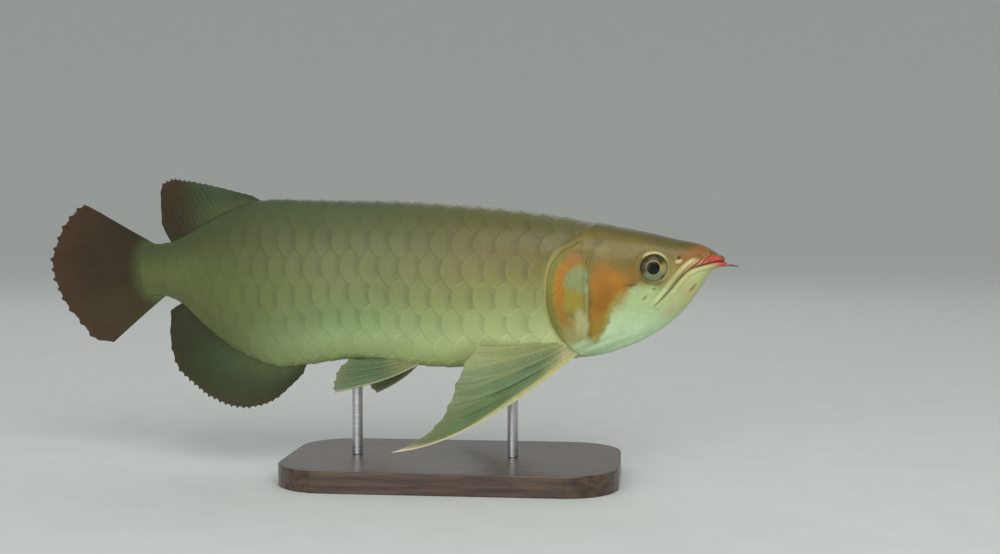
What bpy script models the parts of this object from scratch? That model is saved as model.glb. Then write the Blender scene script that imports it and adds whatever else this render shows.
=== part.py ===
"""A life-size display model of an Asian arowana, held over a flat base by two short rods.

The fish is built straight first, with its nose towards +X, its left side towards +Y and the tip of its
chin at x = 0. It is then bent about the vertical, so that the tail swings to its left, and set on its
stand. Distances along the fish are called `back`: how far behind the tip of the chin a point lies.
"""

import math

import bmesh
import bpy
import numpy as np
from mathutils import Matrix, Vector

MM = 0.001
GAP = 0.3 * MM

# Where the fish stands: the origin is the middle of the base's underside.
CHIN_X = 152.7 * MM
AXIS_HEIGHT = 120 * MM

# The bend: the heading turns by this much between two places along the body.
BEND_DEGREES = 17.0
BEND_FROM = 130 * MM
BEND_TO = 400 * MM

# The body's sections, in millimetres: back, top, bottom, level of the widest point, half width,
# and how square the section is above and below that level (2 is an ellipse).
BODY_SECTIONS = [
    (0.0, 3.4, 1.9, 2.6, 0.9, 2.0, 2.0),
    (1.5, 5.9, 1.2, 3.3, 3.6, 2.0, 2.0),
    (4.0, 8.1, 0.1, 3.6, 5.5, 2.1, 2.0),
    (8.0, 10.9, -2.4, 3.0, 7.3, 2.3, 2.0),
    (14.0, 13.6, -11.9, 1.5, 9.2, 2.5, 2.0),
    (20.0, 15.0, -20.4, 1.0, 11.0, 2.6, 1.95),
    (30.0, 17.0, -30.4, 0.5, 13.6, 2.6, 1.9),
    (40.0, 19.4, -37.3, 0.0, 15.6, 2.6, 1.9),
    (55.0, 22.4, -44.5, -1.0, 17.8, 2.5, 1.9),
    (75.0, 25.8, -50.1, -3.0, 20.0, 2.4, 1.9),
    (100.0, 30.3, -52.2, -4.0, 21.6, 2.3, 1.9),
    (130.0, 33.9, -55.4, -4.0, 22.4, 2.25, 1.85),
    (155.0, 36.0, -57.0, -4.0, 22.4, 2.2, 1.85),
    (185.0, 37.7, -55.3, -4.0, 21.4, 2.15, 1.85),
    (215.0, 38.2, -53.5, -4.0, 19.2, 2.1, 1.85),
    (240.0, 38.5, -57.3, -5.0, 16.6, 2.05, 1.85),
    (256.0, 38.9, -59.0, -5.5, 14.8, 2.0, 1.85),
    (272.0, 37.2, -54.8, -5.5, 12.6, 1.95, 1.85),
    (290.0, 30.9, -45.8, -5.0, 10.2, 1.95, 1.9),
    (306.0, 23.0, -33.8, -4.5, 8.2, 1.95, 1.95),
    (318.0, 16.6, -23.6, -3.8, 6.8, 1.95, 1.95),
    (328.0, 13.0, -19.4, -3.3, 5.6, 2.0, 2.0),
    (338.0, 12.5, -19.0, -3.3, 4.0, 2.0, 2.0),
    (347.0, 12.9, -19.4, -3.3, 2.2, 2.0, 2.0),
    (358.0, 13.3, -19.8, -3.3, 1.3, 2.0, 2.0),
]
RING_SAMPLES = 97

# The cuts that part the body, each in a side view: (back, height) in millimetres.
GILL_MARGIN = [(64, 60), (68, 31), (75, 23.5), (83, 17.0), (91, 11), (96.4, 3), (98.6, -8), (98.6, -20),
               (95.6, -31), (90.6, -39.5), (86.0, -44.5), (83.5, -49.5), (83.0, -75)]
AHEAD_OF_HEAD = [(-20, -75), (-20, 60)]
MOUTH_LINE = [(-12, 4.0), (0.8, 4.1), (5, 3.9), (10.5, 2.7), (15.5, 1.4), (20, -0.6), (25, -5.2),
              (30.7, -12.2), (38.0, -19.6)]
JAW_HINGE_LINE = [(42.0, -26), (46.0, -34), (52, -60)]
TAIL_STARTS = 235 * MM
TAIL_END_MARGIN = [(340, 37), (341, 13.5), (343.5, 6), (345, -3.3), (343.5, -12.5), (341, -20.5),
                   (340, -44)]

# Scales: hexagons with bulging rear edges, in rows counted from the ridge of the back to the belly.
SCALE_ROWS = 7
SCALE_FRONT = 95 * MM
SCALE_LENGTH_FRONT = 12.6 * MM
SCALE_LENGTH_REAR = 9.4 * MM
SCALED_LENGTH = 242 * MM
SCALE_STEP = 0.45 * MM
FIRST_SCALE, LAST_SCALE = -5, 47  # in half scales from SCALE_FRONT
ROWS_GATHER_FROM, ROWS_GATHER_TO = 200 * MM, 335 * MM
ROWS_GATHER = 0.75

# The head's features.
EYE_BACK, EYE_HEIGHT = 39.4 * MM, 0.8 * MM
EYE_RADIUS, EYE_DEPTH = 8.3 * MM, 3.9 * MM
EYE_SINKS = 2.0 * MM
ORBIT_RADIUS, ORBIT_RIM = 7.8 * MM, 0.75 * MM
LIP_RADIUS = 1.0 * MM
BARBEL_LENGTH = 7.5 * MM
BARBEL_RADIUS = 0.75 * MM

# Side views of the plates on the head, in millimetres: each edge runs from its lower to its upper end.
GILL_COVER_FRONT = [(79.0, -43.5), (78.0, -30), (77.6, -15), (77.6, 0), (78.4, 12.5)]
GILL_COVER_REAR = [(84.5, -45.0), (95.6, -29.5), (98.3, -13), (96.2, 1.5), (87.5, 12.8)]
CHEEK_FRONT = [(56, -27), (51.5, -16), (49.4, -6), (50.2, 5), (52.5, 9.5)]
CHEEK_REAR = [(70.0, -31), (75.2, -20), (76.0, -6), (74.8, 6), (70.0, 12.5)]
MAXILLA_FRONT = [(38.2, -20.2), (30.7, -12.4), (25.2, -5.0), (20.2, -0.2), (15.0, 2.0), (9.5, 3.6)]
MAXILLA_REAR = [(40.4, -18.6), (33.6, -10.4), (27.8, -2.8), (22.0, 1.8), (16.5, 4.4), (10.5, 5.7)]
# How far a plate's outer face stands over the skin at its front and rear edge, and its depth under it.
GILL_COVER_LIFT = (0.4 * MM, 1.3 * MM, 1.6 * MM)
CHEEK_LIFT = (0.35 * MM, 0.7 * MM, 2 * MM)
MAXILLA_LIFT = (1.0 * MM, 0.9 * MM, 2 * MM)

# The nostrils of one side: back, height and radius, in millimetres.
NOSTRILS = [(9.0, 8.4, 0.9), (26.0, 5.4, 1.25)]
NOSTRIL_DEPTH = 1.6 * MM
LIP_ABOVE, LIP_BELOW = 1.5 * MM, -1.3 * MM
HEAD_LENGTH = 101.85

# Each fin ray is given by where it leaves the body and where it ends: (share of the way along the fin's
# root, back and height of the root, back and height of the tip), in millimetres.
DORSAL_RAYS = [(0.0, 266.5, 38.6, 272.5, 40.8), (0.2, 279, 35.2, 289.8, 45.0),
               (0.4, 291, 30.5, 304.5, 48.4), (0.6, 302.5, 24.8, 317.5, 50.6),
               (0.75, 310.5, 20.4, 326.5, 51.2), (0.88, 318.5, 16.3, 333.5, 45.4),
               (1.0, 325.5, 13.6, 333.2, 25.0)]
ANAL_RAYS = [(0.0, 238.5, -57.4, 241.5, -62.5), (0.07, 243.5, -58.2, 248.5, -69.5),
             (0.15, 249, -58.8, 257, -77.0), (0.3, 260.5, -58.2, 271, -83.4),
             (0.45, 272, -54.8, 285.5, -83.9), (0.6, 283.5, -49.4, 300, -79.0),
             (0.75, 295, -42.4, 313, -70.6), (0.87, 304.5, -34.8, 324.2, -61.0),
             (0.94, 311, -29.2, 328.6, -47.0), (1.0, 318.5, -23.6, 328, -28.0)]
CAUDAL_RAYS = [(0.0, 336, 11.4, 384, 33.6), (0.06, 336.8, 10.2, 390, 35.6), (0.13, 338, 8.6, 396.5, 33.8),
               (0.22, 339.3, 6.2, 404, 26.4), (0.35, 340.5, 2.6, 411, 13.5), (0.5, 341, -2.6, 414.2, -1.5),
               (0.64, 340.5, -7.8, 410.4, -14.5), (0.77, 339.5, -12.2, 405, -26.5),
               (0.87, 338, -15.2, 394.5, -38.2), (0.94, 335, -17.4, 387, -46.0),
               (0.975, 332.5, -18.4, 381, -49.3), (1.0, 330.5, -18.9, 371.5, -49.8)]
MEDIAN_SINK = 5 * MM

# A paired fin's rays: (share along the root, back, outwards and height of the tip from the root), in
# millimetres. The root runs from its leading end to its trailing end, in back, out and height.
PECTORAL_RAYS = [(0.0, 96.5, 37, -51.5), (0.17, 83.5, 32.5, -46.5), (0.33, 73, 28.5, -39.5),
                 (0.5, 65, 24, -30), (0.67, 59.5, 18, -19.5), (0.83, 54.5, 12, -9.5), (1.0, 46, 8, -1.0)]
PECTORAL_ROOT = [(83.5, -47.5), (90.5, -41.5)]
PECTORAL_BOW, PECTORAL_HOOK, PECTORAL_CUP = 6.8 * MM, 3.4 * MM, 2 * MM
# The far fin is held wider than the near one: how its rays are scaled back, outwards and in height.
FAR_PECTORAL_SCALE = (0.8, 1.3, 0.9)
PELVIC_RAYS_NEAR = [(0.0, 44.5, 9, -16.5), (0.33, 42.5, 7.5, -13), (0.67, 36.5, 6, -5.5), (1.0, 27, 4, 0)]
PELVIC_RAYS_FAR = [(0.0, 31, 27, -22), (0.33, 32, 24, -18), (0.67, 30, 19, -11), (1.0, 24, 13, -5)]
PELVIC_ROOT = [(174.5, -54.9), (184.5, -52.4)]
PELVIC_BOW = 2.5 * MM
PAIRED_SINK = 5 * MM

WEB_THICKNESS = 0.62 * MM
RAY_HEIGHT = 0.32 * MM
ROOT_THICKENING = 0.5 * MM

# The stand.
BASE_LENGTH, BASE_WIDTH, BASE_THICKNESS = 190 * MM, 110 * MM, 12 * MM
BASE_CORNER, BASE_BEVEL = 30 * MM, 2.5 * MM
ROD_RADIUS = 3 * MM
ROD_SIDES = 24
FRONT_ROD_X, REAR_ROD_X = 34 * MM, -56 * MM

MODEL = "asian_arowana"
OLIVE = (0.20, 0.24, 0.13)
PALE = (0.46, 0.52, 0.34)
ORANGE = (0.52, 0.27, 0.07)
MAROON = (0.085, 0.055, 0.035)
FIN_PALE = (0.34, 0.33, 0.19)
RED = (0.45, 0.08, 0.05)
EYE_DARK = (0.02, 0.02, 0.01)
BASE_WOOD = (0.03, 0.025, 0.022)
STEEL = (0.55, 0.55, 0.56)


class Curve:
    """A smooth curve through rows of (position, value, value...)."""

    def __init__(self, rows):
        rows = np.array(rows, float)
        self.at, self.value = rows[:, 0], rows[:, 1:]
        step = np.diff(self.at)[:, None]
        slope = np.diff(self.value, axis=0) / step
        inner = (slope[:-1] * step[1:] + slope[1:] * step[:-1]) / (step[1:] + step[:-1])
        self.slope = np.concatenate([slope[:1], inner, slope[-1:]])

    def __call__(self, x):
        x = np.clip(np.asarray(x, float), self.at[0], self.at[-1])
        k = np.clip(np.searchsorted(self.at, x) - 1, 0, len(self.at) - 2)
        step = self.at[k + 1] - self.at[k]
        t = ((x - self.at[k]) / step)[..., None]
        step = step[..., None]
        return ((2 * t**3 - 3 * t**2 + 1) * self.value[k]
                + (t**3 - 2 * t**2 + t) * step * self.slope[k]
                + (3 * t**2 - 2 * t**3) * self.value[k + 1]
                + (t**3 - t**2) * step * self.slope[k + 1])


def body_curve():
    """The sections against the square root of the distance back, so that the snout comes out round."""
    rows = np.array(BODY_SECTIONS)
    rows[:, 1:5] *= MM
    rows[:, 0] = np.sqrt(rows[:, 0] * MM)
    return Curve(rows)


BODY = body_curve()


def smooth_step(x, low, high):
    t = np.clip((x - low) / (high - low), 0, 1)
    return t * t * (3 - 2 * t)


def half_section(back):
    """y and z of the left half of the section at `back`, from the ridge of the back to the belly."""
    top, bottom, level, width, above, below = BODY(math.sqrt(max(back, 0.0)))
    angle = np.linspace(math.pi / 2, -math.pi / 2, RING_SAMPLES)
    up, out = np.sin(angle), np.abs(np.cos(angle))
    power = np.where(up > 0, above, below)
    y = width * out ** (2 / power)
    height = np.where(up > 0, top - level, level - bottom)
    return y, level + np.sign(up) * height * np.abs(up) ** (2 / power)


def on_skin(back, share, side=1):
    """The point of the plain body at `back` and this share of the way round from back ridge to belly."""
    y, z = half_section(back)
    along = np.concatenate([[0], np.cumsum(np.hypot(np.diff(y), np.diff(z)))])
    here = share * along[-1]
    return Vector((-back, side * np.interp(here, along, y), np.interp(here, along, z)))


def side_y(back, height):
    """How far out the flank of the plain body is, at this distance back and height."""
    top, bottom, level, width, above, below = BODY(math.sqrt(max(back, 0.0)))
    reach, power = (top - level, above) if height > level else (level - bottom, below)
    share = min(abs(height - level) / reach, 1.0)
    return width * (1 - share**power) ** (1 / power)


def flank(back, height, side=1, lift=0.0):
    """The point of the flank in a side view, moved out along the skin's normal by `lift`."""
    d = 0.4 * MM
    y = side_y(back, height)
    slope_x = (side_y(back - d, height) - side_y(back + d, height)) / (2 * d)
    slope_z = (side_y(back, height + d) - side_y(back, height - d)) / (2 * d)
    normal = Vector((-slope_x, 1, -slope_z)).normalized()
    point = Vector((-back, y, height)) + normal * float(lift)
    return Vector((point.x, side * point.y, point.z)), Vector((normal.x, side * normal.y, normal.z))


def scale_back(columns):
    """The distance back of a place counted in scale lengths from SCALE_FRONT."""
    shrink = (SCALE_LENGTH_REAR - SCALE_LENGTH_FRONT) / SCALED_LENGTH
    return SCALE_FRONT + SCALE_LENGTH_FRONT / shrink * (math.exp(shrink * columns) - 1)


def row_share(row, back):
    """The share of the way round at which a row lies: the rows crowd at the edges of the thin tail."""
    even = row / SCALE_ROWS
    gathered = 0.5 - 0.5 * math.cos(math.pi * even)
    weight = ROWS_GATHER * float(smooth_step(back, ROWS_GATHER_FROM, ROWS_GATHER_TO))
    return (1 - weight) * even + weight * gathered


def new_object(name, mesh):
    thing = bpy.data.objects.new(name, mesh)
    bpy.context.scene.collection.objects.link(thing)
    return thing


def object_from(name, build):
    """An object whose mesh `build` makes in a bmesh, with its normals facing out."""
    shape = bmesh.new()
    build(shape)
    bmesh.ops.triangulate(shape, faces=shape.faces[:])
    bmesh.ops.recalc_face_normals(shape, faces=shape.faces[:])
    mesh = bpy.data.meshes.new(name)
    shape.to_mesh(mesh)
    shape.free()
    return new_object(name, mesh)


def remove(thing):
    data = thing.data
    bpy.data.objects.remove(thing)
    if data.users == 0:
        (bpy.data.meshes if isinstance(data, bpy.types.Mesh) else bpy.data.curves).remove(data)


def as_mesh(thing, weld=True):
    """A mesh object in place of a curve or an object with modifiers, with a curve's caps welded on."""
    bpy.context.view_layer.update()
    graph = bpy.context.evaluated_depsgraph_get()
    mesh = bpy.data.meshes.new_from_object(thing.evaluated_get(graph))
    mesh.transform(thing.matrix_world)
    shape = bmesh.new()
    shape.from_mesh(mesh)
    if weld:
        bmesh.ops.remove_doubles(shape, verts=shape.verts[:], dist=0.01 * MM)
    bmesh.ops.recalc_face_normals(shape, faces=shape.faces[:])
    shape.to_mesh(mesh)
    shape.free()
    name = thing.name
    remove(thing)
    return new_object(name, mesh)


def largest_surface(thing):
    """Keeps only the object's largest closed surface."""
    shape = bmesh.new()
    shape.from_mesh(thing.data)
    left, islands = set(shape.faces), []
    while left:
        island, edge = set(), [left.pop()]
        while edge:
            face = edge.pop()
            island.add(face)
            for line in face.edges:
                for other in line.link_faces:
                    if other in left:
                        left.discard(other)
                        edge.append(other)
        islands.append(island)
    islands.sort(key=lambda faces: sum(face.calc_area() for face in faces))
    loose = [face for island in islands[:-1] for face in island]
    bmesh.ops.delete(shape, geom=loose, context="FACES")
    shape.to_mesh(thing.data)
    shape.free()


def combined(target, others, operation):
    """The target after one Boolean with all the other objects, which are removed."""
    cutters = bpy.data.collections.new("cutters")
    bpy.context.scene.collection.children.link(cutters)
    for other in others:
        cutters.objects.link(other)
    boolean = target.modifiers.new("join", "BOOLEAN")
    boolean.operation = operation
    boolean.operand_type = "COLLECTION"
    boolean.collection = cutters
    boolean.solver = "MANIFOLD"
    name = target.name
    result = as_mesh(target, weld=False)
    for other in others:
        remove(other)
    bpy.data.collections.remove(cutters)
    largest_surface(result)
    result.name = name
    return result


def cut(target, *others):
    for other in others:
        target = combined(target, [other], "DIFFERENCE")
    return target


def kept_in(target, region):
    return combined(target, [region], "INTERSECT")


def joined(target, others):
    return combined(target, others, "UNION")


def copy_of(thing, name="copy"):
    return new_object(name, thing.data.copy())


def inflated(thing, by=GAP):
    """A copy of the object with its surface moved out by a small gap."""
    grown = copy_of(thing, "inflated")
    mesh = grown.data
    shape = bmesh.new()
    shape.from_mesh(mesh)
    shape.normal_update()
    for vertex in shape.verts:
        vertex.co += vertex.normal * by * vertex.calc_shell_factor()
    shape.to_mesh(mesh)
    shape.free()
    return grown


def grown(thing):
    """The object itself, with its surface moved out by a small gap."""
    result = inflated(thing)
    remove(thing)
    return result


def side_prism(name, outline, half_depth=60 * MM):
    """A plate across the fish with this side-view outline, given as (back, height) in millimetres."""
    curve = bpy.data.curves.new(name, "CURVE")
    curve.dimensions = "2D"
    curve.fill_mode = "BOTH"
    curve.extrude = half_depth
    spline = curve.splines.new("POLY")
    spline.points.add(len(outline) - 1)
    for point, (back, height) in zip(spline.points, outline):
        point.co = (-back * MM, height * MM, 0, 1)
    spline.use_cyclic_u = True
    plate = new_object(name, curve)
    plate.rotation_euler = (math.pi / 2, 0, 0)
    return as_mesh(plate)


def tube(name, points, radii, sides=3):
    """A round tube through the points, with a radius at each."""
    curve = bpy.data.curves.new(name, "CURVE")
    curve.dimensions = "3D"
    curve.bevel_depth = 1.0
    curve.bevel_resolution = sides
    curve.use_fill_caps = True
    spline = curve.splines.new("POLY")
    spline.points.add(len(points) - 1)
    for point, place, radius in zip(spline.points, points, radii):
        point.co = (*place, 1)
        point.radius = radius
    return as_mesh(new_object(name, curve))


def ellipsoid(name, centre, axes, radii, segments=20, rings=12):
    """A UV sphere stretched along three axes."""
    shape = bmesh.new()
    bmesh.ops.create_uvsphere(shape, u_segments=segments, v_segments=rings, radius=1.0)
    mesh = bpy.data.meshes.new(name)
    shape.to_mesh(mesh)
    shape.free()
    frame = Matrix([axis * radius for axis, radius in zip(axes, radii)]).transposed().to_4x4()
    mesh.transform(Matrix.Translation(centre) @ frame)
    return new_object(name, mesh)


def ring_solid(name, rings):
    """A closed body through rings of points, all with the same count."""

    def build(shape):
        rows = [[shape.verts.new(point) for point in ring] for ring in rings]
        for near, far in zip(rows, rows[1:]):
            for k in range(len(near)):
                after = (k + 1) % len(near)
                shape.faces.new((near[k], near[after], far[after], far[k]))
        shape.faces.new(rows[0])
        shape.faces.new(rows[-1])

    return object_from(name, build)


def plain_body(name, stations, around):
    """The body with no scales, through sections at these distances back."""
    shares = np.linspace(0, 1, around // 2 + 1)
    rings = []
    for back in stations:
        left = [on_skin(back, share) for share in shares]
        right = [Vector((p.x, -p.y, p.z)) for p in reversed(left[1:-1])]
        rings.append(left + right)
    return ring_solid(name, rings)


def body_room():
    """The space of the scaled body and the gap round it, which fins, barbels and rods are cut by."""
    lift = SCALE_STEP + GAP
    shares = np.linspace(0, 1, 23)
    rings = []
    for back in np.concatenate([[0.4, 2, 5, 9], np.linspace(14, 358, 62)]) * MM:
        step = min(back / 2, MM)
        left = []
        for share in shares:
            point = on_skin(back, share)
            along = on_skin(back + step, share) - on_skin(back - step, share)
            up, down = max(share - 0.01, 0), min(share + 0.01, 1)
            normal = along.cross(on_skin(back, down) - on_skin(back, up)).normalized()
            if share in (0, 1):
                normal = Vector((0, 0, 1 if share == 0 else -1))
            elif normal.y < 0:
                normal = -normal
            left.append(point + normal * lift)
        rings.append(left + [Vector((p.x, -p.y, p.z)) for p in reversed(left[1:-1])])
    room = ring_solid("body_room", rings)
    end = [(back + GAP / MM, height) for back, height in TAIL_END_MARGIN]
    return kept_in(room, side_prism("room_side", [(-20, 75), *end, (340, -75), (-20, -75)]))


def lattice_point(column, row, raised):
    """A place of the scale lattice, `column` in scale lengths and `row` in rows from the back ridge."""
    back = scale_back(column)
    row %= 2 * SCALE_ROWS
    side = 1 if row <= SCALE_ROWS else -1
    if side < 0:
        row = 2 * SCALE_ROWS - row
    share = min(max(row_share(row, back), 0.0), 1.0)
    point = on_skin(back, share, side)
    if not raised:
        return point
    along = on_skin(back + MM, share, side) - on_skin(back - MM, share, side)
    nudge = 0.01
    up, down = max(share - nudge, 0), min(share + nudge, 1)
    round_it = on_skin(back, down, side) - on_skin(back, up, side)
    normal = along.cross(round_it).normalized()
    level = BODY(math.sqrt(back))[2]
    outward = Vector((0, point.y, point.z - level))
    return point + normal * SCALE_STEP * (1 if normal.dot(outward) > 0 else -1)


def scaled_body(name):
    """The body with its scales: each is a raised plate whose rear edge stands over the next ones."""
    corner, crest = (-0.1, 2 / 3), 0.58
    made = {}

    def build(shape):
        def vertex(kind, column, row, way, raised):
            row %= 2 * SCALE_ROWS
            key = (kind, column, row, way, raised)
            if key not in made:
                if kind == "crest":
                    place = (column / 2 + crest, row)
                else:
                    place = (column / 2 + corner[0], row + way * corner[1])
                made[key] = shape.verts.new(lattice_point(*place, raised))
            return made[key]

        def exists(column):
            return FIRST_SCALE <= column <= LAST_SCALE

        for row in range(2 * SCALE_ROWS):
            for column in range(FIRST_SCALE, LAST_SCALE + 1):
                if (column + row) % 2:
                    continue
                rear = vertex("crest", column, row, 0, True)
                front = vertex("crest", column - 2, row, 0, False)
                for way in (1, -1):
                    rear_corner = vertex("corner", column + 1, row + way, -way, True)
                    front_corner = vertex("corner", column - 1, row + way, -way, False)
                    side_corner = vertex("corner", column, row, way, False)
                    rear_low = vertex("corner", column + 1, row + way, -way, False)
                    shape.faces.new((front, rear, rear_corner, front_corner)[::way])
                    shape.faces.new((front_corner, rear_corner, side_corner)[::way])
                    if exists(column + 1):
                        shape.faces.new((rear_corner, rear_low, side_corner)[::way])
                    if exists(column + 2):
                        crest_low = vertex("crest", column, row, 0, False)
                        shape.faces.new((rear, crest_low, rear_low, rear_corner)[::way])
        close_ends(shape)

    return object_from(name, build)


def close_ends(shape):
    """Closes each open end with a fan of triangles round the middle of the end."""
    loose = [vertex for vertex in shape.verts if not vertex.link_faces]
    bmesh.ops.delete(shape, geom=loose, context="VERTS")
    open_edges = [edge for edge in shape.edges if edge.is_boundary]
    middle_x = sum(vertex.co.x for vertex in shape.verts) / len(shape.verts)
    for front in (True, False):
        rim = [edge for edge in open_edges if (edge.verts[0].co.x > middle_x) == front]
        centre = sum((edge.verts[0].co + edge.verts[1].co for edge in rim), Vector()) / (2 * len(rim))
        centre.y = 0
        tip = shape.verts.new(centre)
        for edge in rim:
            shape.faces.new((*edge.verts, tip))


def patch(name, front, rear, side, heights, steps=(4, 8)):
    """A raised plate on one flank between two edges, which run from its lower to its upper end.

    `heights` gives how far its outer face stands over the skin at the front and the rear edge, and how
    deep its inner face lies.
    """
    front_lift, rear_lift, depth = heights
    across, along = steps
    left, right = (Curve([(k / (len(edge) - 1), *point) for k, point in enumerate(edge)])
                   for edge in (front, rear))

    def build(shape):
        layers = []
        for outer in (True, False):
            rows = []
            for j in range(along + 1):
                near, far = left(j / along) * MM, right(j / along) * MM
                row = []
                for i in range(across + 1):
                    share = i / across
                    back, height = near + (far - near) * share
                    lift = front_lift + (rear_lift - front_lift) * share if outer else -depth
                    row.append(shape.verts.new(flank(back, height, side, lift)[0]))
                rows.append(row)
            layers.append(rows)
        sheet_faces(shape, *layers)

    return object_from(name, build)


def sheet_faces(shape, outer, inner):
    """Faces between and over two like grids of vertices, split into triangles alike on both."""
    for layer in (outer, inner):
        for near, far in zip(layer, layer[1:]):
            for k in range(len(near) - 1):
                shape.faces.new((near[k], near[k + 1], far[k + 1]))
                shape.faces.new((near[k], far[k + 1], far[k]))

    def border(rows):
        far_side, near_side = [row[-1] for row in rows[1:]], [row[0] for row in rows[-2:0:-1]]
        return rows[0] + far_side + rows[-1][-2::-1] + near_side

    over, under = border(outer), border(inner)
    for k in range(len(over)):
        after = (k + 1) % len(over)
        shape.faces.new((over[k], over[after], under[after]))
        shape.faces.new((over[k], under[after], under[k]))


def fin_sheet(name, middle, rays, steps, notch=0.035):
    """A fin: a web with a ridge along each ray. `middle(share, t)` is its middle surface."""
    columns = 2 * rays - 1

    def place(column, t):
        reach = 1 - notch * (column % 2)
        return middle(column / (columns - 1), t * reach)

    def build(shape):
        layers = [[], []]
        for column in range(columns):
            rows = [[], []]
            for step in range(steps + 1):
                t = step / steps
                here = place(column, t)
                near, far = max(column - 2, 0), min(column + 2, columns - 1)
                share = t * 0.9
                along = middle(column / (columns - 1), share + 0.1) - middle(column / (columns - 1), share)
                across = middle(far / (columns - 1), share) - middle(near / (columns - 1), share)
                normal = along.cross(across).normalized()
                half = WEB_THICKNESS / 2 * (1 - 0.3 * t * t)
                half += ROOT_THICKENING / 2 * max(0.0, 1 - 2.2 * t) ** 2
                if column % 2 == 0:
                    half += RAY_HEIGHT * (1 - 0.6 * t)
                for layer, way in zip(rows, (1, -1)):
                    layer.append(shape.verts.new(here + normal * half * way))
            for layer, row in zip(layers, rows):
                layer.append(row)
        sheet_faces(shape, *layers)

    return object_from(name, build)


def median_fin(name, table, rays, steps, bow=0.0, curl=0.0):
    """A fin on the middle plane, with its rays bowed in that plane and its tip curled to one side."""
    curve = Curve(table)

    def middle(share, t):
        root_back, root_height, tip_back, tip_height = (float(v) * MM for v in curve(share))
        root, tip = Vector((-root_back, 0, root_height)), Vector((-tip_back, 0, tip_height))
        ray = tip - root
        root = root - ray.normalized() * MEDIAN_SINK
        ray = tip - root
        sideways = Vector((ray.z, 0, -ray.x)).normalized()
        bulge = 4 * t * (1 - t)
        lean = Vector((0, curl * t * t * math.sin(2.4 * math.pi * share + 0.6), 0))
        return root + ray * t + sideways * bow * bulge + lean

    return fin_sheet(name, middle, rays, steps)


def paired_fin(name, table, root_line, side, rays, steps, bow=0.0, hook=0.0, cup=0.0, scale=(1, 1, 1)):
    """A fin on one side, whose rays fan out from a short root, droop in a bow and hook at their tips."""
    curve = Curve(table)
    root_ends = [flank(back * MM, height * MM)[0] for back, height in root_line]

    def reach(share):
        back, out, height = (float(v) * MM * factor for v, factor in zip(curve(share), scale))
        return Vector((-back, out, height))

    inward = reach(0.45).normalized()

    def middle(share, t):
        root = root_ends[0].lerp(root_ends[1], share)
        tip = root + reach(share)
        root = root - inward * PAIRED_SINK
        droop = Vector((0.25, 0.15, -1)).normalized() * (1 - 0.8 * share)
        bulge = 4 * t * (1 - t) * (1.3 - 0.6 * t)
        sag = bow * bulge + hook * t**3 * (1 - t) * 256 / 27
        hollow = cup * bulge * math.sin(math.pi * share)
        point = root + (tip - root) * t + droop * sag + Vector((0, -hollow, 0))
        return Vector((point.x, side * point.y, point.z))

    return fin_sheet(name, middle, rays, steps)


def bend_table():
    """The line that the straight axis becomes: for distances back, the heading, x and y."""
    back = np.arange(0, 500.5, 0.5) * MM
    heading = math.radians(BEND_DEGREES) * smooth_step(back, BEND_FROM, BEND_TO)
    step = np.diff(back)
    x = np.concatenate([[0], np.cumsum(-np.cos((heading[1:] + heading[:-1]) / 2) * step)])
    y = np.concatenate([[0], np.cumsum(np.sin((heading[1:] + heading[:-1]) / 2) * step)])
    return back, heading, x, y


BEND = bend_table()


def bend_and_place(thing):
    """Bends the object about the vertical and sets it over the base."""
    mesh = thing.data
    points = np.empty(len(mesh.vertices) * 3)
    mesh.vertices.foreach_get("co", points)
    points = points.reshape(-1, 3)
    back = -points[:, 0]
    table_back, heading, x, y = BEND
    behind = np.clip(back, 0, None)
    turn = np.interp(behind, table_back, heading)
    new_x = np.interp(behind, table_back, x) + np.sin(turn) * points[:, 1] + np.clip(-back, 0, None)
    new_y = np.interp(behind, table_back, y) + np.cos(turn) * points[:, 1]
    placed = np.column_stack([new_x + CHIN_X, new_y, points[:, 2] + AXIS_HEIGHT])
    mesh.vertices.foreach_set("co", placed.ravel())
    mesh.update()


def mouth_tube(name, above, radius):
    """A lip: a tube that follows the mouth line all round the snout, this far above or below it."""
    line = Curve([(k, back, height) for k, (back, height) in enumerate(MOUTH_LINE[1:])])
    count = len(MOUTH_LINE) - 2
    half, radii = [], []
    for t in np.linspace(0, count - 0.7, 12):
        back, height = line(t) * MM
        nudge = line(min(t + 0.2, count)) - line(max(t - 0.2, 0))
        across = Vector((nudge[1], -nudge[0])).normalized()
        back, height = back + across.x * above, height - across.y * above * -1
        sink = -0.9 * radius * (t / count) ** 2
        half.append(flank(max(back, 0.7 * MM), height, 1, sink)[0])
        radii.append(radius * (1 - 0.4 * t / count))
    other = [Vector((p.x, -p.y, p.z)) for p in half]
    middle = Vector((half[0].x, 0, half[0].z))
    return tube(name, other[:0:-1] + [middle] + half[1:], radii[:0:-1] + radii[:1] + radii[1:], 1)


def eye_parts(side):
    """The eyeball, and the axes and centre that its socket shares."""
    surface, normal = flank(EYE_BACK, EYE_HEIGHT, side)
    ahead = Vector((1, 0, 0))
    ahead = (ahead - normal * ahead.dot(normal)).normalized()
    axes = (ahead, normal.cross(ahead), normal)
    return surface - normal * EYE_SINKS, axes


def ring_round_eye(name, centre, axes, radius, thickness):
    """A ring that stands round the eye."""
    count = 22
    points = []
    for k in range(count):
        angle = 2 * math.pi * k / count
        place = centre + axes[0] * radius * math.cos(angle) + axes[1] * radius * math.sin(angle)
        skin = flank(-place.x, place.z, 1 if centre.y > 0 else -1)[0]
        points.append(Vector((place.x, skin.y, place.z)))
    curve = bpy.data.curves.new(name, "CURVE")
    curve.dimensions = "3D"
    curve.bevel_depth = thickness
    curve.bevel_resolution = 1
    spline = curve.splines.new("POLY")
    spline.points.add(count - 1)
    for point, place in zip(spline.points, points):
        point.co = (*place, 1)
    spline.use_cyclic_u = True
    return as_mesh(new_object(name, curve))


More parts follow.
